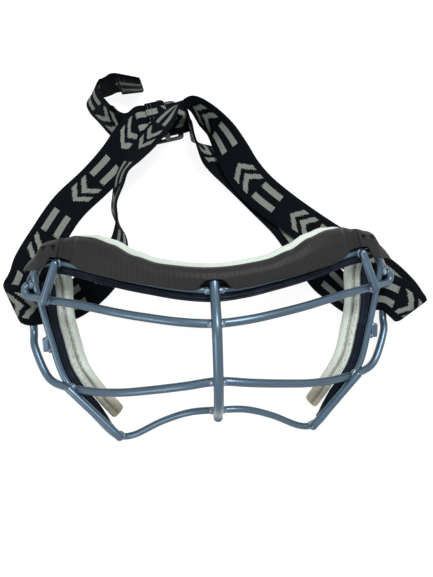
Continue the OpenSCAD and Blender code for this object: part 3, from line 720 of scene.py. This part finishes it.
class GOGGLES_OT_cover(bpy.types.Operator):
    """Moulded brow cover: one section carried along the brow, with the stepped panel and corner slots"""
    bl_idname = "goggles.cover"
    bl_label = "Brow cover"

    def execute(self, context):
        s = context.scene.goggles_sizes
        wall = COVER_WALL
        arm = np.linspace(NOTCH_END, COVER_END, 190)
        x = np.concatenate([-arm[::-1], np.linspace(0.3 - NOTCH_END, NOTCH_END - 0.3, 59), arm])
        ax, g = np.abs(x), guide(x)
        top, low, step = eased(COVER_TOP, ax), straight(COVER_LOW, ax), eased(PANEL_STEPS, ax)
        face = s.rim_d / 2 + COVER_GAP + wall + step
        back = np.full_like(x, COVER_BACK)
        # The section leans in towards its foot, fully from 40 mm out and less past the corner's bend
        lean = 0.45 * np.minimum(1, ax / 40) * np.where(ax < 79, 1, 0.6)
        # Height and depth of the section's corners: up the face, over the top and down the inside
        rows = [(low, face), (top * 0.62, face - 0.3), (top - 1.4, face - 1.3), (top, face - 3.2),
                (top + 0.2, back), (top - wall, back), (top - wall - 0.2, face - 3 - wall * 0.4),
                (top - wall - 1.2, face - wall - 1), ((top - wall) * 0.62, face - wall - 0.25),
                (low, face - wall)]
        poly = np.stack([np.stack([x - np.sign(x) * lean * (h - top) * 0.6, g[:, 1] + h, g[:, 2] + f], -1)
                         for h, f in rows], 1)
        section = rounded(poly, 0.55, 5, [14, 8, 3, 6, 3, 4, 3, 5, 5, 4])
        height = section[:, :, 1] - g[:, None, 1]
        depth = section[:, :, 2] - g[:, None, 2]
        low, top, face = low[:, None], top[:, None], face[:, None]
        # A slot is a wedge with its point downwards, sunk into the face; the plastic paints it near black as
        # painted shade for a slot cut through
        hole = np.zeros(height.shape)
        for place, rise, size in HOLES:
            dx, dy = np.abs(section[:, :, 0]) - place, height - rise
            wedge = np.maximum(np.abs(dx) * 0.9 - dy * 0.5, dy)
            hole = np.maximum(hole, climb(size * 0.5 - wedge, 0, 0.35))
        hole = hole * (depth > face - 2.2)
        section[:, :, 2] -= hole * 1.3
        sides = np.linalg.norm(np.diff(section, axis=1), axis=-1)
        arc = np.concatenate([np.zeros((len(x), 1)), np.cumsum(sides, 1)], 1)
        uv = np.stack([np.broadcast_to(x[:, None], arc.shape), arc], -1).reshape(-1, 2)
        cover = fit("brow_cover_moulded", skin(lay(section), turned=True), "cover_plastic", "cover_plastic",
                    "brow_cover", uv=uv)
        panel = climb(PANEL_END - ax, 0, 0.8)[:, None] * climb(height - low, 0.5, 0.5) \
            * climb(top - 1.0 - height, 0, 0.6) * (depth > face - 1.4)
        rim = np.clip(1 - np.abs(height - (top - 0.6)) / 0.9, 0, 1) * (depth > face - 3.4)
        zones(cover, np.stack([panel, hole, rim], -1).reshape(-1, 3))
        return {"FINISHED"}


# ---------------------------------------------------------------- carrier
SIDE_LINE = curve(np.vstack([SIDE_HALF[1:], BASE_HALF[:1]]), 5)
# Depth of the rails' face, their wall, and how far the side rails drop behind the wire
RAIL_FACE, RAIL_WALL, RAIL_DROP = -1.8, 1.6, 1.6
# The first points of a side rail's section, which lie on its face
FACE_POINTS = 22


def side_frame(steps):
    """Side wire's line cut into equal steps, with the direction inwards from it, which is its heading
    turned a quarter turn in the plane of the face, and the way down from 0 to 1."""
    t = headings(SIDE_LINE)
    inward = unit(np.stack([t[:, 1], -t[:, 0], 0 * t[:, 0]], -1))
    last = len(SIDE_LINE) - 1
    fine = np.linspace(0, last, steps)
    line, inward = (sampled(fine, np.arange(last + 1), v) for v in (SIDE_LINE, inward))
    return line, unit(inward), np.clip((fine - 1) / (last - 2), 0, 1)


def inset(down):
    """Distance of the pad from the wire's line: less on the way down."""
    return 5.6 - eased([[0, 0], [0.35, 3.2], [1, 4.2]], down)


class GOGGLES_OT_carrier(bpy.types.Operator):
    """Rubber carrier of the pads: ribbed brow rail and two tapering side rails"""
    bl_idname = "goggles.carrier"
    bl_label = "Pad carrier"

    def execute(self, context):
        x = np.linspace(-76, 76, 230)
        g = guide(x)
        top = eased(COVER_TOP, np.abs(x)) - 2.7
        back = RAIL_FACE - RAIL_WALL
        # Height and depth of the brow rail's corners; its front is ribbed by a squared sine
        rows = [(-1.9, 1.1), (-1.9, RAIL_FACE), (top, RAIL_FACE), (top, back), (-5.2, back), (-5.2, 0.6)]
        poly = np.stack([np.stack([x, g[:, 1] + h, g[:, 2] + d], -1) for h, d in rows], 1)
        section = rounded(poly, 0.5, 5, [4, 6, 3, 8, 5, 16])
        height = section[:, :, 1] - g[:, None, 1]
        front = (section[:, :, 2] - g[:, None, 2] > 0.2) & (height < -2.1) & (height > -5.0)
        section[:, :, 2] -= front * 0.42 * np.sin((height + 2.1) * math.pi / 1.45) ** 2
        fit("brow_rail_moulded", skin(lay(section), turned=True), "carrier_rubber", "carrier_rubber",
            "brow_rail")
        # A side rail's corners by their way inwards and depth; its edge tapers at the lower end and
        # its face has a groove in the form of a bell curve
        line, inward, down = side_frame(110)
        edge = (inset(down) + 1.8) * (1 - 0.72 * climb(down, 0.84, 0.16) ** 1.5)
        rows = [(0.2, RAIL_FACE), (np.minimum(2.0, edge), RAIL_FACE + 0.9), (edge, RAIL_FACE - RAIL_DROP),
                (edge, back - RAIL_DROP), (edge - 0.9, back - RAIL_DROP), (0.2, back)]
        poly = np.stack([line + inward * np.broadcast_to(a, down.shape)[:, None] + np.array([0, 0, b])
                         for a, b in rows], 1)
        section = rounded(poly, 0.45, 4, [3, 12, 3, 2, 6, 3])
        wide = ((section - line[:, None]) * inward[:, None]).sum(-1)
        face = np.arange(section.shape[1]) < FACE_POINTS
        section[:, :, 2] -= np.exp(-((wide - edge[:, None] * 0.72) / 0.28) ** 2) * face * 0.35
        for name, turn in SIDES:
            fit(name + "_rail_moulded", skin(lay(section * turn), turned=name == "right"), "carrier_rubber",
                "carrier_rubber", name + "_rail")
        return {"FINISHED"}


# ---------------------------------------------------------------- pads
# Height of the brow pad above the cover, against the distance from the middle
PAD_TOP = [[0, 2.1], [24, 2.4], [38, 3], [47, 2.6], [56, 1.6], [66, 0], [76, -2]]
SCALE_UP, PRESSURE, CLOTH_FRAMES = 20.0, 4.0, 20
SWELL = 0.4
STITCH_ROWS, STITCH_SPAN, STITCH_PITCH = (-0.3, 0.3), (0.05, 0.95), 2.2
PAD_OUTLINE = np.array([
    [0, -0.5], [0.04, -0.2], [0.24, 0], [0.42, -0.1], [0.5, -0.26], [0.58, -0.1], [0.76, 0], [0.96, -0.2],
    [1, -0.5], [0.94, -0.86], [0.72, -1], [0.5, -0.92], [0.28, -1], [0.06, -0.86]
])


def blown(name, form, voxel):
    """Foam skin by cloth: the form is remeshed, blown up a little with no gravity, and each point's
    way is held to the swell. It is worked out at twenty times its size, where cloth behaves as it
    does on a cushion."""
    scene = bpy.context.scene
    rough = piece(name + "_form", form[0] * SCALE_UP, form[1], None)
    remesh = rough.modifiers.new("voxels", "REMESH")
    remesh.mode = "VOXEL"
    remesh.voxel_size = voxel * SCALE_UP * MM
    depsgraph = bpy.context.evaluated_depsgraph_get()
    mesh = bpy.data.meshes.new_from_object(rough.evaluated_get(depsgraph))
    bpy.data.objects.remove(rough)
    obj = bpy.data.objects.new(name, mesh)
    scene.collection.objects.link(obj)
    start = np.empty(len(mesh.vertices) * 3)
    mesh.vertices.foreach_get("co", start)
    moved = start.copy()
    cloth = obj.modifiers.new("skin", "CLOTH")
    cloth.settings.quality = 6
    cloth.settings.use_pressure = True
    cloth.settings.uniform_pressure_force = PRESSURE
    cloth.settings.effector_weights.gravity = 0.0
    cloth.point_cache.frame_start = 1
    cloth.point_cache.frame_end = CLOTH_FRAMES
    for f in range(1, CLOTH_FRAMES + 1):
        scene.frame_set(f)
    depsgraph = bpy.context.evaluated_depsgraph_get()
    done = bpy.data.meshes.new_from_object(obj.evaluated_get(depsgraph))
    done.vertices.foreach_get("co", moved)
    obj.modifiers.remove(cloth)
    bpy.data.meshes.remove(done)
    scene.frame_set(1)
    step = (moved - start).reshape(-1, 3) / (SCALE_UP * MM)
    far = np.linalg.norm(step, axis=-1, keepdims=True)
    step *= np.minimum(1, SWELL / np.maximum(far, 1e-9))
    return obj, start.reshape(-1, 3) / (SCALE_UP * MM) + step


def pad_tube(path, across, up, half_w, half_t, power):
    """Closed form along a path: a smooth outline of two rolls side by side in each section, and
    round ends where both half sizes fall as the 0.4th power of one minus a high power of the way
    from the middle."""
    e = np.abs(np.linspace(-1, 1, len(path)))
    fall = (1 - np.minimum(e, 0.9985) ** power) ** 0.4
    flat = curve(np.hstack([PAD_OUTLINE, np.zeros((len(PAD_OUTLINE), 1))]), 4, True)
    cx, cy = flat[:, 0] * 2 - 1, flat[:, 1] * 2 + 1
    return path[:, None] + (half_w * fall)[:, None, None] * cx[None, :, None] * across[:, None] \
        + (half_t * fall)[:, None, None] * cy[None, :, None] * up[:, None]


def dressed(obj, co, path, across, up, half_w, half_t, groove, node, soil):
    """Sewn groove and soil marks on a blown pad: each point finds its nearest section, and on the
    upper side the surface sinks by a bell curve about the middle line, and by two narrow ones
    about the rows of stitches."""
    near = np.argmin(((co[:, None] - path[None]) ** 2).sum(-1), 1)
    rel = co - path[near]
    c = (rel * across[near]).sum(-1) / half_w[near]
    h = (rel * up[near]).sum(-1) / half_t[near]
    upper = np.clip(h * 2, 0, 1)
    bell, seam = (np.exp(-(c / width) ** 2) * upper for width in (0.16, 0.105))
    side = np.exp(-((np.abs(c) - STITCH_ROWS[1]) / 0.07) ** 2) * upper
    co = co - up[near] * (bell * groove + side * 0.22)[:, None]
    mesh = obj.data
    mesh.vertices.foreach_set("co", (co * MM).ravel())
    mesh.polygons.foreach_set("use_smooth", [True] * len(mesh.polygons))
    mesh.update()
    marks = climb(near / (len(path) - 1), soil[0], soil[1] - soil[0])
    # The third number is where the groove and the stitch rows sink; the cloth paints it darker as painted
    # shade
    zones(obj, np.stack([seam, marks, np.clip(bell + side * 0.5, 0, 1)], -1))
    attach(obj, "goggles")
    soften = obj.modifiers.new("soften", "SUBSURF")
    soften.levels = soften.render_levels = 1
    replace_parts(coat(obj, "pad_cloth"), node)
    return co, c, h, near


def pad_stitches(name, co, c, h, near, path, up):
    """Two rows of stitches: at each place along the pad the surface points nearest to the row's line
    are taken, and a small ellipsoid lies there along the row."""
    parts = []
    length, along = reach(path), headings(path)
    start, stop = np.multiply(STITCH_SPAN, length[-1])
    for row in STITCH_ROWS:
        for d in np.arange(start, stop, STITCH_PITCH):
            k = int(np.argmin(np.abs(length - d)))
            score = np.abs(near - k) * 0.7 + np.abs(c - row) * 9 + (h < 0.2) * 50
            parts.append(thread(co[np.argsort(score)[:3]].mean(0), along[k], up[k]))
    fit(name, joined(parts), "pad_thread", "pad_fabric")


class GOGGLES_OT_pads(bpy.types.Operator):
    """Foam pads in knitted cloth, blown by a cloth run and sewn along a groove"""
    bl_idname = "goggles.pads"
    bl_label = "Face pads"

    def execute(self, context):
        s = context.scene.goggles_sizes
        front, low = RAIL_FACE - RAIL_WALL - 0.3, -2.6
        x = np.linspace(-73.8, 73.8, 150)
        g = guide(x)
        top = eased(COVER_TOP, np.abs(x)) + eased(PAD_TOP, np.abs(x))
        path = lay(np.stack([x, g[:, 1] + (top + low) / 2, g[:, 2] + front - s.pad_t / 2], -1))
        across, up = (np.tile(way, (len(x), 1)) for way in (UPWARD, FORWARD))
        half_w, half_t = (top - low) / 2, np.full(len(x), s.pad_t / 2)
        form = skin(pad_tube(path, across, up, half_w - SWELL, half_t - SWELL, 60))
        obj, co = blown("brow_pad_foam", form, 1.3)
        dressed(obj, co, path, across, up, half_w, half_t, s.groove * 0.3, "brow_pad", (2, 3))
        line, inward, down = (v[4:106] for v in side_frame(110))
        # The pad runs on above the wire's start and ends behind the brow rail
        above = 8
        rise = np.arange(above, 0, -1)[:, None] * 0.95 * unit(line[0] - line[4])
        line = np.vstack([line[0] + rise, line])
        inward = np.vstack([np.tile(inward[0], (above, 1)), inward])
        down = np.concatenate([np.zeros(above), down])
        wide = eased([[0, 9.3], [0.25, 9.8], [0.6, 9.8], [1, 8.8]], down)
        thick = s.pad_t * eased([[0, 1], [0.5, 0.72], [1, 0.52]], down)
        depth = RAIL_FACE - RAIL_DROP - RAIL_WALL - 0.3 - thick / 2
        middle = line + inward * (inset(down) + wide / 2)[:, None] + np.stack([0 * down, 0 * down, depth], -1)
        half_w, half_t = wide / 2, thick / 2
        up = np.tile(FORWARD, (len(down), 1))
        for name, turn in SIDES:
            path, across = lay(middle * turn), (inward * turn) @ TURN.T
            tube = pad_tube(path, across, up, half_w - SWELL, half_t - SWELL * 0.8, 90)
            obj, co = blown(name + "_side_pad_foam", skin(tube, turned=name == "left"), 0.8)
            found = dressed(obj, co, path, across, up, half_w, half_t, s.groove * 0.75, name + "_side_pad",
                            (0.6, 1.0))
            pad_stitches(name + "_pad_stitches", *found, path, up)
        return {"FINISHED"}


# ---------------------------------------------------------------- webbing
SLIDE_SPOT = np.array([-22.4, 106.0, 0.0])
SLIDE_TURN = math.radians(12)
ALONG = np.array([math.cos(SLIDE_TURN), math.sin(SLIDE_TURN), 0])
ACROSS = np.array([-math.sin(SLIDE_TURN), math.cos(SLIDE_TURN), 0])
SLOT_MID = (BEND_TOP + BEND_LOW) / 2 - 0.5
BAR_SPOT = on_table([STRAP_BAR_X, SLOT_MID, 2.85 - STRAP_BAR_BACK])
SLOT_SPOT = on_table([STRAP_BAR_X - 5.6, SLOT_MID, 0.9 - STRAP_BAR_BACK])
JOIN_WAY = np.array([0.96, 0, 0.72])
FLAT_Z = 0.85
# Slide: its height off the table, the ring's thickness, the undersides of the sewn loop's layers,
# and half the webbing's thickness
LIFT, RING_T, LAYER_LOW, LAYER_HIGH, HALF_T = 0.1, 1.4, 3.2, 6.15, 0.65


def slot_run(way, turn):
    """Three stations from the middle of a strap bar's slot, out or in along the join."""
    return [np.hstack([(SLOT_SPOT + JOIN_WAY * k * way) * [turn, 1, 1], UPWARD]) for k in (0, 0.5, 1)]


# Each station of a route is a point of the webbing's middle line and its half-width direction
LEFT_ROUTE = np.vstack([slot_run(1, -1), np.hstack([flip(BAR_SPOT), UPWARD]), [
    [-95.6, 1.6, 12.7, -0.2, 0.98, 0.3], [-98.6, 2.2, 11.8, -0.42, 1, 0.2],
    [-100.2, 2.8, 9.8, -0.42, 0.95, 0.12], [-100.4, 5.6, 7.4, -0.52, 0.92, 0.05],
    [-97.3, 12, 5.2, -0.7, 0.82, 0], [-93.4, 24, 3.6, -0.86, 0.6, 0], [-86.4, 38.6, 2.2, -0.84, 0.56, 0],
    [-76, 56, 1.2, -0.77, 0.63, 0], [-61, 71.4, FLAT_Z, -0.7, 0.72, 0], [-50, 82, 3.4, -0.66, 0.75, 0.12],
    [-42.8, 92.2, 6.5, -0.5, 0.86, 0.08]
]])
CROSS_ROUTE = np.vstack([slot_run(-1, -1), [
    [-82, 2, 6.4, 0, 0.96, 0.3], [-78, 2.4, 3.4, -0.05, 0.98, 0.2], [-71, 5.4, 1.8, -0.3, 0.95, 0.06],
    [-63, 11, 3.4, -0.5, 0.83, 0.22], [-55.6, 17.2, 6.8, -0.58, 0.56, 0.58],
    [-49.6, 24, 9.8, -0.42, 0.25, 0.87], [-46.4, 31, 10.6, -0.28, 0.05, 0.96],
    [-45.8, 38, 10.8, -0.12, -0.05, 0.99], [-47.6, 45, 10.8, 0.16, -0.1, 0.98],
    [-49, 52.6, 10.8, 0.3, -0.1, 0.95], [-47, 61.6, 10.6, 0.45, -0.05, 0.9],
    [-44.6, 69.8, 12.4, 0.5, -0.2, 0.84], [-38.6, 77.8, 14.2, 0.5, -0.5, 0.7],
    [-32, 85, 15.4, 0.54, -0.57, 0.62], [-25, 93, 16.2, 0.52, -0.6, 0.61],
    [-18.6, 99.8, 17.2, 0.35, -0.68, 0.65], [-12.4, 105.2, 18.8, 0.01, -0.54, 0.84],
    [-7, 105.8, 18.6, -0.02, -0.2, 0.98], [-1.6, 102.8, 15.6, 0.05, 0.22, 0.96],
    [4.8, 98, 13.6, 0.27, 0.24, 0.9], [10.2, 90.2, 12.8, 0.56, 0.27, 0.72],
    [15.2, 80.4, 11.6, 0.76, 0.37, 0.44], [21.2, 70.4, 8.8, 0.78, 0.45, 0.36],
    [30.4, 60, 6.2, 0.7, 0.65, 0.25], [45.8, 47.4, 4.4, 0.57, 0.8, 0.12], [64.2, 33.4, 4, 0.55, 0.83, 0.05],
    [82.2, 20.6, 4.4, 0.62, 0.78, 0.05], [93.6, 11.2, 5, 0.76, 0.65, 0.08],
    [101.2, 2.2, 5.8, 0.82, 0.58, 0.06], [104.8, -5.2, 7, 0.84, 0.57, 0.04],
    [105.4, -8.8, 9.4, 0.78, 0.5, 0.1], [102.4, -7.6, 11.8, 0.76, 0.7, 0.15],
    [97, -3.4, 12.9, 0.45, 0.9, 0.26]
], np.hstack([BAR_SPOT, [0.12, 0.93, 0.34]]), slot_run(1, 1)[::-1]])
RIGHT_ROUTE = np.vstack([slot_run(-1, 1), [
    [82, 1.4, 6.4, 0, 0.94, 0.3], [78, -0.4, 3.4, 0.02, 0.95, 0.2], [73.4, 1.6, 1.6, 0.22, 0.93, 0.05],
    [67.2, 8, 1, 0.54, 0.8, 0], [61.6, 14.4, FLAT_Z, 0.7, 0.7, 0], [53, 28.6, 1, 0.86, 0.5, 0],
    [44, 43.4, 1, 0.76, 0.65, 0], [32.4, 56.8, 0.9, 0.66, 0.75, 0], [18.6, 71, 2, 0.64, 0.74, -0.1],
    [8.4, 80.8, 2.9, 0.6, 0.74, -0.2], [1, 83.9, 6.9, 0.32, 0.7, -0.61], [-5.2, 90.4, 9.6, 0.02, 0.28, -0.9],
    [-6.6, 95, 9.4, 0, -0.1, -0.86], [-7, 98.8, 5.2, 0.06, -0.5, -0.46], [-7.9, 103.8, 3.4, 0.12, -0.9, -0.2]
]])
RUN_CUT = SLIDE_SPOT + np.array([0, 0, LIFT + RING_T + 0.25 + HALF_T])
TAIL_ROUTE = np.array([
    [-42.8, 101, 2.6, 0.15, -0.96, -0.12], [-47, 100.5, 4.5, 0, -0.88, -0.38],
    [-50.4, 102.6, 8.8, -0.24, -0.4, -0.8], [-54.2, 106.4, 9.7, -0.48, 0, -0.86],
    [-57.8, 111, 9.2, -0.6, 0.11, -0.78], [-60.4, 116, 9.2, -0.56, 0.2, -0.8],
    [-60, 119.4, 10, -0.38, 0.22, -0.89], [-57, 120.9, 10.7, -0.21, 0.13, -0.97],
    [-54.2, 121.4, 10.9, -0.1, 0.12, -0.98], [-51.4, 122.6, 11, -0.04, 0.12, -0.985],
    [-49, 124, 11, 0, 0.12, -0.985], [-46.4, 124.4, 11, 0, 0.12, -0.985]
])
MOUTH_Z = LIFT + (LAYER_LOW + LAYER_HIGH + 2 * HALF_T) / 2
HEM_LONG, HEM_GAP, HEM_WAY, HEM_TURN = 12.0, 0.2, np.array([0.998, -0.06, 0]), np.array([0, 0.3, -0.945])
LOOP_BACK, LOOP_BEND = 8.5, 1.35


def ribbon(route, n, width, thick):
    """Webbing along a route: the half-width direction is blended as the points are, and the section
    is a flat band whose thickness falls to round edges as the root of one minus the tenth power."""
    p, w = curve(route[:, :3], n), curve(route[:, 3:], n)
    normal = unit(np.cross(headings(p), w))
    u = np.sin(np.linspace(-math.pi / 2, math.pi / 2, 15))
    edge = np.sqrt(np.maximum(0, 1 - np.abs(u) ** 10)) * 0.97 + 0.03
    c = (np.concatenate([u, u[::-1]]) * width / 2)[None, :, None]
    t = (np.concatenate([edge, -edge[::-1]]) * thick / 2)[None, :, None]
    rings = p[:, None] + w[:, None] * c + normal[:, None] * t
    length = reach(p)
    uv = np.stack(np.broadcast_arrays(length[:, None], c[:, :, 0]), -1).reshape(-1, 2)
    return rings + SHIFT, uv, length[-1]


def webbing(name, route, n, s, body, *nodes, held="laid", offset=0.0):
    """One run of the webbing; offset shifts its marks."""
    rings, uv, length = ribbon(np.array(route), n, s.strap_w, s.strap_t)
    obj = fit(name, skin(rings), "webbing_cloth", "webbing", *nodes, body=body, uv=uv + [offset, 0])
    length * MM
    return obj


def sewn(name, rows, up, body):
    """Rows of nine stitches across the webbing, each row about a middle point."""
    fit(name, joined([thread(middle + unit(way) * k + SHIFT, way, up)
                      for middle, way in rows for k in np.linspace(-8.4, 8.4, 9)]),
        "strap_thread", "webbing", body=body)


class GOGGLES_OT_strap(bpy.types.Operator):
    """Elastic webbing in its runs, the folded tail end and the sewn loop on the slide"""
    bl_idname = "goggles.strap"
    bl_label = "Webbing"

    def execute(self, context):
        s = context.scene.goggles_sizes
        self.runs(s)
        self.hem(s)
        self.loop(s)
        return {"FINISHED"}

    def runs(self, s):
        """The left run ends in the sewn loop; the back run goes through the slide to the tail."""
        end = SLIDE_SPOT - ALONG * 7.9 + np.array([0, 0, MOUTH_Z])
        ends = [np.hstack([p, ACROSS]) for p in (end - ALONG * 7, end)]
        outer = webbing("outer_run", [*LEFT_ROUTE, *ends], 12, s, None, "left_outer_strap")
        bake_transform(outer)
        webbing("cross_run", CROSS_ROUTE, 12, s, "goggles", "cross_strap", offset=11.0)
        through = [np.hstack([RUN_CUT + ALONG * k, -ACROSS]) for k in (14, 10, 0, -16)]
        webbing("back_run", [*RIGHT_ROUTE, *through, *TAIL_ROUTE], 12, s, "goggles", "right_inner_strap",
                "strap_tail", offset=4.0)

    def hem(self, s):
        """The tail's end, folded back on itself: two flat layers and a half circle between them."""
        last, first_w = TAIL_ROUTE[-1][:3], TAIL_ROUTE[-1][3:]
        across = unit(np.cross(HEM_WAY, first_w))
        turn = (s.strap_t + HEM_GAP) / 2

        def hang(u, v):
            """Station at u along the hem and v through its thickness, turned evenly along it."""
            return last + u * HEM_WAY + v * across, first_w + (HEM_TURN - first_w) * u / HEM_LONG

        route = [hang(u, 0) for u in (0.0, 6.0, HEM_LONG)]
        route += [hang(HEM_LONG + turn * math.sin(a), turn * (math.cos(a) - 1))
                  for a in np.radians([30, 60, 90, 120, 150])]
        route += [hang(u, -2 * turn) for u in (HEM_LONG, 6.0, 0.8)]
        webbing("tail_hem", np.hstack(np.swapaxes(route, 0, 1)), 5, s, "goggles", "strap_hem", held="folded",
                offset=8.0)
        faces = (s.strap_t / 2, -2 * turn - s.strap_t / 2)
        sewn("hem_stitches", [hang(u, v) for u in (2.2, 4.6) for v in faces], across, "goggles")

    def loop(self, s):
        """The webbing's other end, sewn round the slide's centre bar."""
        low, high = LAYER_LOW + HALF_T, LAYER_HIGH + HALF_T
        middle, r = (low + high) / 2, (high - low) / 2

        def at(u, z):
            """Point at u along the slide and z above its foot."""
            return SLIDE_SPOT + ALONG * u + np.array([0, 0, LIFT + z])

        backs = (-LOOP_BACK, -LOOP_BACK / 2, 0.6)
        route = [at(u, low) for u in backs]
        route += [at(1.0 + LOOP_BEND * math.cos(a), middle + r * math.sin(a))
                  for a in np.radians([-60, -30, 0, 30, 60])]
        route += [at(u, high) for u in backs[::-1]]
        webbing("sewn_loop_cloth", [np.hstack([q, ACROSS]) for q in route], 4, s, "slide", "sewn_loop",
                held="folded", offset=3.0)
        top = high + s.strap_t / 2
        sewn("loop_stitches", [(at(u, top), ACROSS) for u in (-7.2, -5.2)], np.array([0, 0, 1.0]), "slide")


# ---------------------------------------------------------------- slide
# Half sizes of the ring's outer and inner outline, with the power that squares each
RING_OUTER, RING_INNER = (9.5, 12.3, 9.0), (6.5, 10.3, 14.0)
BRIDGE_Z = 4.625 + 0.7
BRIDGE_HALF = [[0, 0, BRIDGE_Z], [0, 8, BRIDGE_Z], [0, 10.4, BRIDGE_Z], [0, 11.2, 4.2], [0, 11.3, 2.5],
               [0, 11.3, 0.5]]


class GOGGLES_OT_slide(bpy.types.Operator):
    """Moulded slide: a rounded ring with a bridge that carries the centre bar"""
    bl_idname = "goggles.slide"
    bl_label = "Slide"

    def execute(self, context):
        g, q = circle(96), circle(20)
        outer, inner = (np.stack([a * squared(np.cos(g), power), b * squared(np.sin(g), power), 0 * g], -1)
                        for a, b, power in (RING_OUTER, RING_INNER))
        # Both parts have a superellipse of the fourth power for their section; the ring's lies
        # between its two outlines
        e, h = squared(np.cos(q), 4.0), squared(np.sin(q), 4.0)
        mix = (1 - e[None, :, None]) / 2
        ring = outer[:, None] * (1 - mix) + inner[:, None] * mix
        ring = ring + np.stack([0 * h, 0 * h, (1 + h) * RING_T / 2], -1)
        half = np.array(BRIDGE_HALF)
        path = curve(np.vstack([half[:0:-1] * [1, -1, 1], half]), 8)
        side = np.cross(headings(path), [1, 0, 0])[:, None]
        bar = path[:, None] + e[None, :, None] * np.array([1.5, 0, 0]) + h[None, :, None] * 0.68 * side
        axes = np.stack([ALONG, ACROSS, [0, 0, 1]])
        ring, bar = (v @ axes + np.array([0, 0, LIFT]) + SLIDE_SPOT + SHIFT for v in (ring, bar))
        fit("slide_moulded", joined([skin(ring, True), skin(bar)]), "slide_plastic", "slide_plastic",
            "slide_frame", body="slide")
        return {"FINISHED"}


# ---------------------------------------------------------------- stage
TABLE_HALF, TABLE_DROP = 1500, 0.4
# Name, place and size in metres, and power in watts
LAMPS = (("key", (0.16, 0.2, 0.66), 0.28, 4.6), ("fill", (-0.5, -0.35, 0.5), 0.35, 1.8))
# Strength of the world for the rays that light and for those that see it
WORLD_LIGHT, WORLD_SEEN = 0.36, 1.1
TABLE_GLOW, TABLE_SHARE = 1.16, 0.76
EYE_PLACE = np.array([-8.6, -32.3, 230.0])
EYE_AXES = ((0.9979, -0.0471, 0.0440), (0.0387, 0.9838, 0.1753), (-0.0515, -0.1732, 0.9835))


class GOGGLES_OT_stage(bpy.types.Operator):
    """Pale table, soft light and the camera of the photograph"""
    bl_idname = "goggles.stage"
    bl_label = "Stage"

    def execute(self, context):
        self.table()
        self.light(context.scene)
        self.eye(context.scene)
        context.scene.view_settings.view_transform = "Standard"
        return {"FINISHED"}

    def table(self):
        """Pale floor that glows a little for the rays that see it, so that it keeps its shadows."""
        corners = np.array([[-1, -1, 0], [1, -1, 0], [1, 1, 0], [-1, 1, 0]]) * TABLE_HALF - [0, 0, TABLE_DROP]
        floor = piece("table", corners, [[0, 1, 2, 3]], None, smooth=False)
        p = Paint("table_top")
        pale = p.shaded((0.86, 0.86, 0.86), p.noise(p.place(), 12.0) * 0.03 + 0.985)
        p.finish(pale, 0.9, Specular_IOR_Level=0.0)
        glow = p.node("ShaderNodeEmission", {}, {"Strength": TABLE_GLOW})
        mix = p.node("ShaderNodeMixShader", {}, {0: p.seen() * TABLE_SHARE, 1: p.shader.outputs[0], 2: glow})
        p.feed(p.tree.nodes["Material Output"].inputs[0], mix)
        floor.data.materials.append(p.material)

    def light(self, scene):
        """White world, stronger where it is seen, and two soft lamps turned to the part."""
        scene.world = bpy.data.worlds.new("studio")
        scene.world.use_nodes = True
        board = Board(scene.world.node_tree)
        sky = board.tree.nodes["Background"]
        board.feed(sky.inputs[0], (1, 1, 1))
        levels = {"Value": board.seen(), "To Min": WORLD_LIGHT, "To Max": WORLD_SEEN}
        board.feed(sky.inputs[1], board.node("ShaderNodeMapRange", {}, levels))
        for name, spot, size, power in LAMPS:
            lamp = bpy.data.lights.new(name, "AREA")
            lamp.size, lamp.energy = size, power
            obj = bpy.data.objects.new(name, lamp)
            obj.location = spot
            obj.rotation_euler = (Vector((0, 0, 0.02)) - Vector(spot)).to_track_quat("-Z", "Y").to_euler()
            scene.collection.objects.link(obj)

    def eye(self, scene):
        """Camera at the photograph's place: right, up and back are its axes."""
        camera = bpy.data.cameras.new("camera")
        camera.lens, camera.sensor_width, camera.sensor_fit = 27.0, 36.0, "AUTO"
        camera.clip_start, camera.clip_end = 0.01, 20
        eye = bpy.data.objects.new("camera", camera)
        place = Matrix(EYE_AXES).transposed().to_4x4()
        place.translation = (EYE_PLACE + SHIFT) * MM
        eye.matrix_world = place
        scene.collection.objects.link(eye)
        scene.camera = eye


class GOGGLES_PT_panel(bpy.types.Panel):
    """The settings and a button for each step"""
    bl_idname = "GOGGLES_PT_panel"
    bl_label = "Lacrosse goggles"
    bl_space_type = "VIEW_3D"
    bl_region_type = "UI"
    bl_category = "Goggles"

    def draw(self, context):
        for group in (context.scene.goggles_sizes, context.scene.goggles_colours):
            for key in group.__annotations__:
                self.layout.prop(group, key)
        for step in STEPS:
            self.layout.operator(step.bl_idname)


STEPS = (GOGGLES_OT_stage, GOGGLES_OT_cage, GOGGLES_OT_cover, GOGGLES_OT_carrier, GOGGLES_OT_pads,
         GOGGLES_OT_strap, GOGGLES_OT_slide)
CLASSES = (GogglesSizes, GogglesColours) + STEPS + (GOGGLES_PT_panel,)


def register():
    for c in CLASSES:
        bpy.utils.register_class(c)
    bpy.types.Scene.goggles_sizes = PointerProperty(type=GogglesSizes)
    bpy.types.Scene.goggles_colours = PointerProperty(type=GogglesColours)


def unregister():
    del bpy.types.Scene.goggles_colours
    del bpy.types.Scene.goggles_sizes
    for c in reversed(CLASSES):
        bpy.utils.unregister_class(c)


def main():
    register()
    for step in STEPS:
        group, name = step.bl_idname.split(".")
        getattr(getattr(bpy.ops, group), name)()


if __name__ == "__main__":
    main()
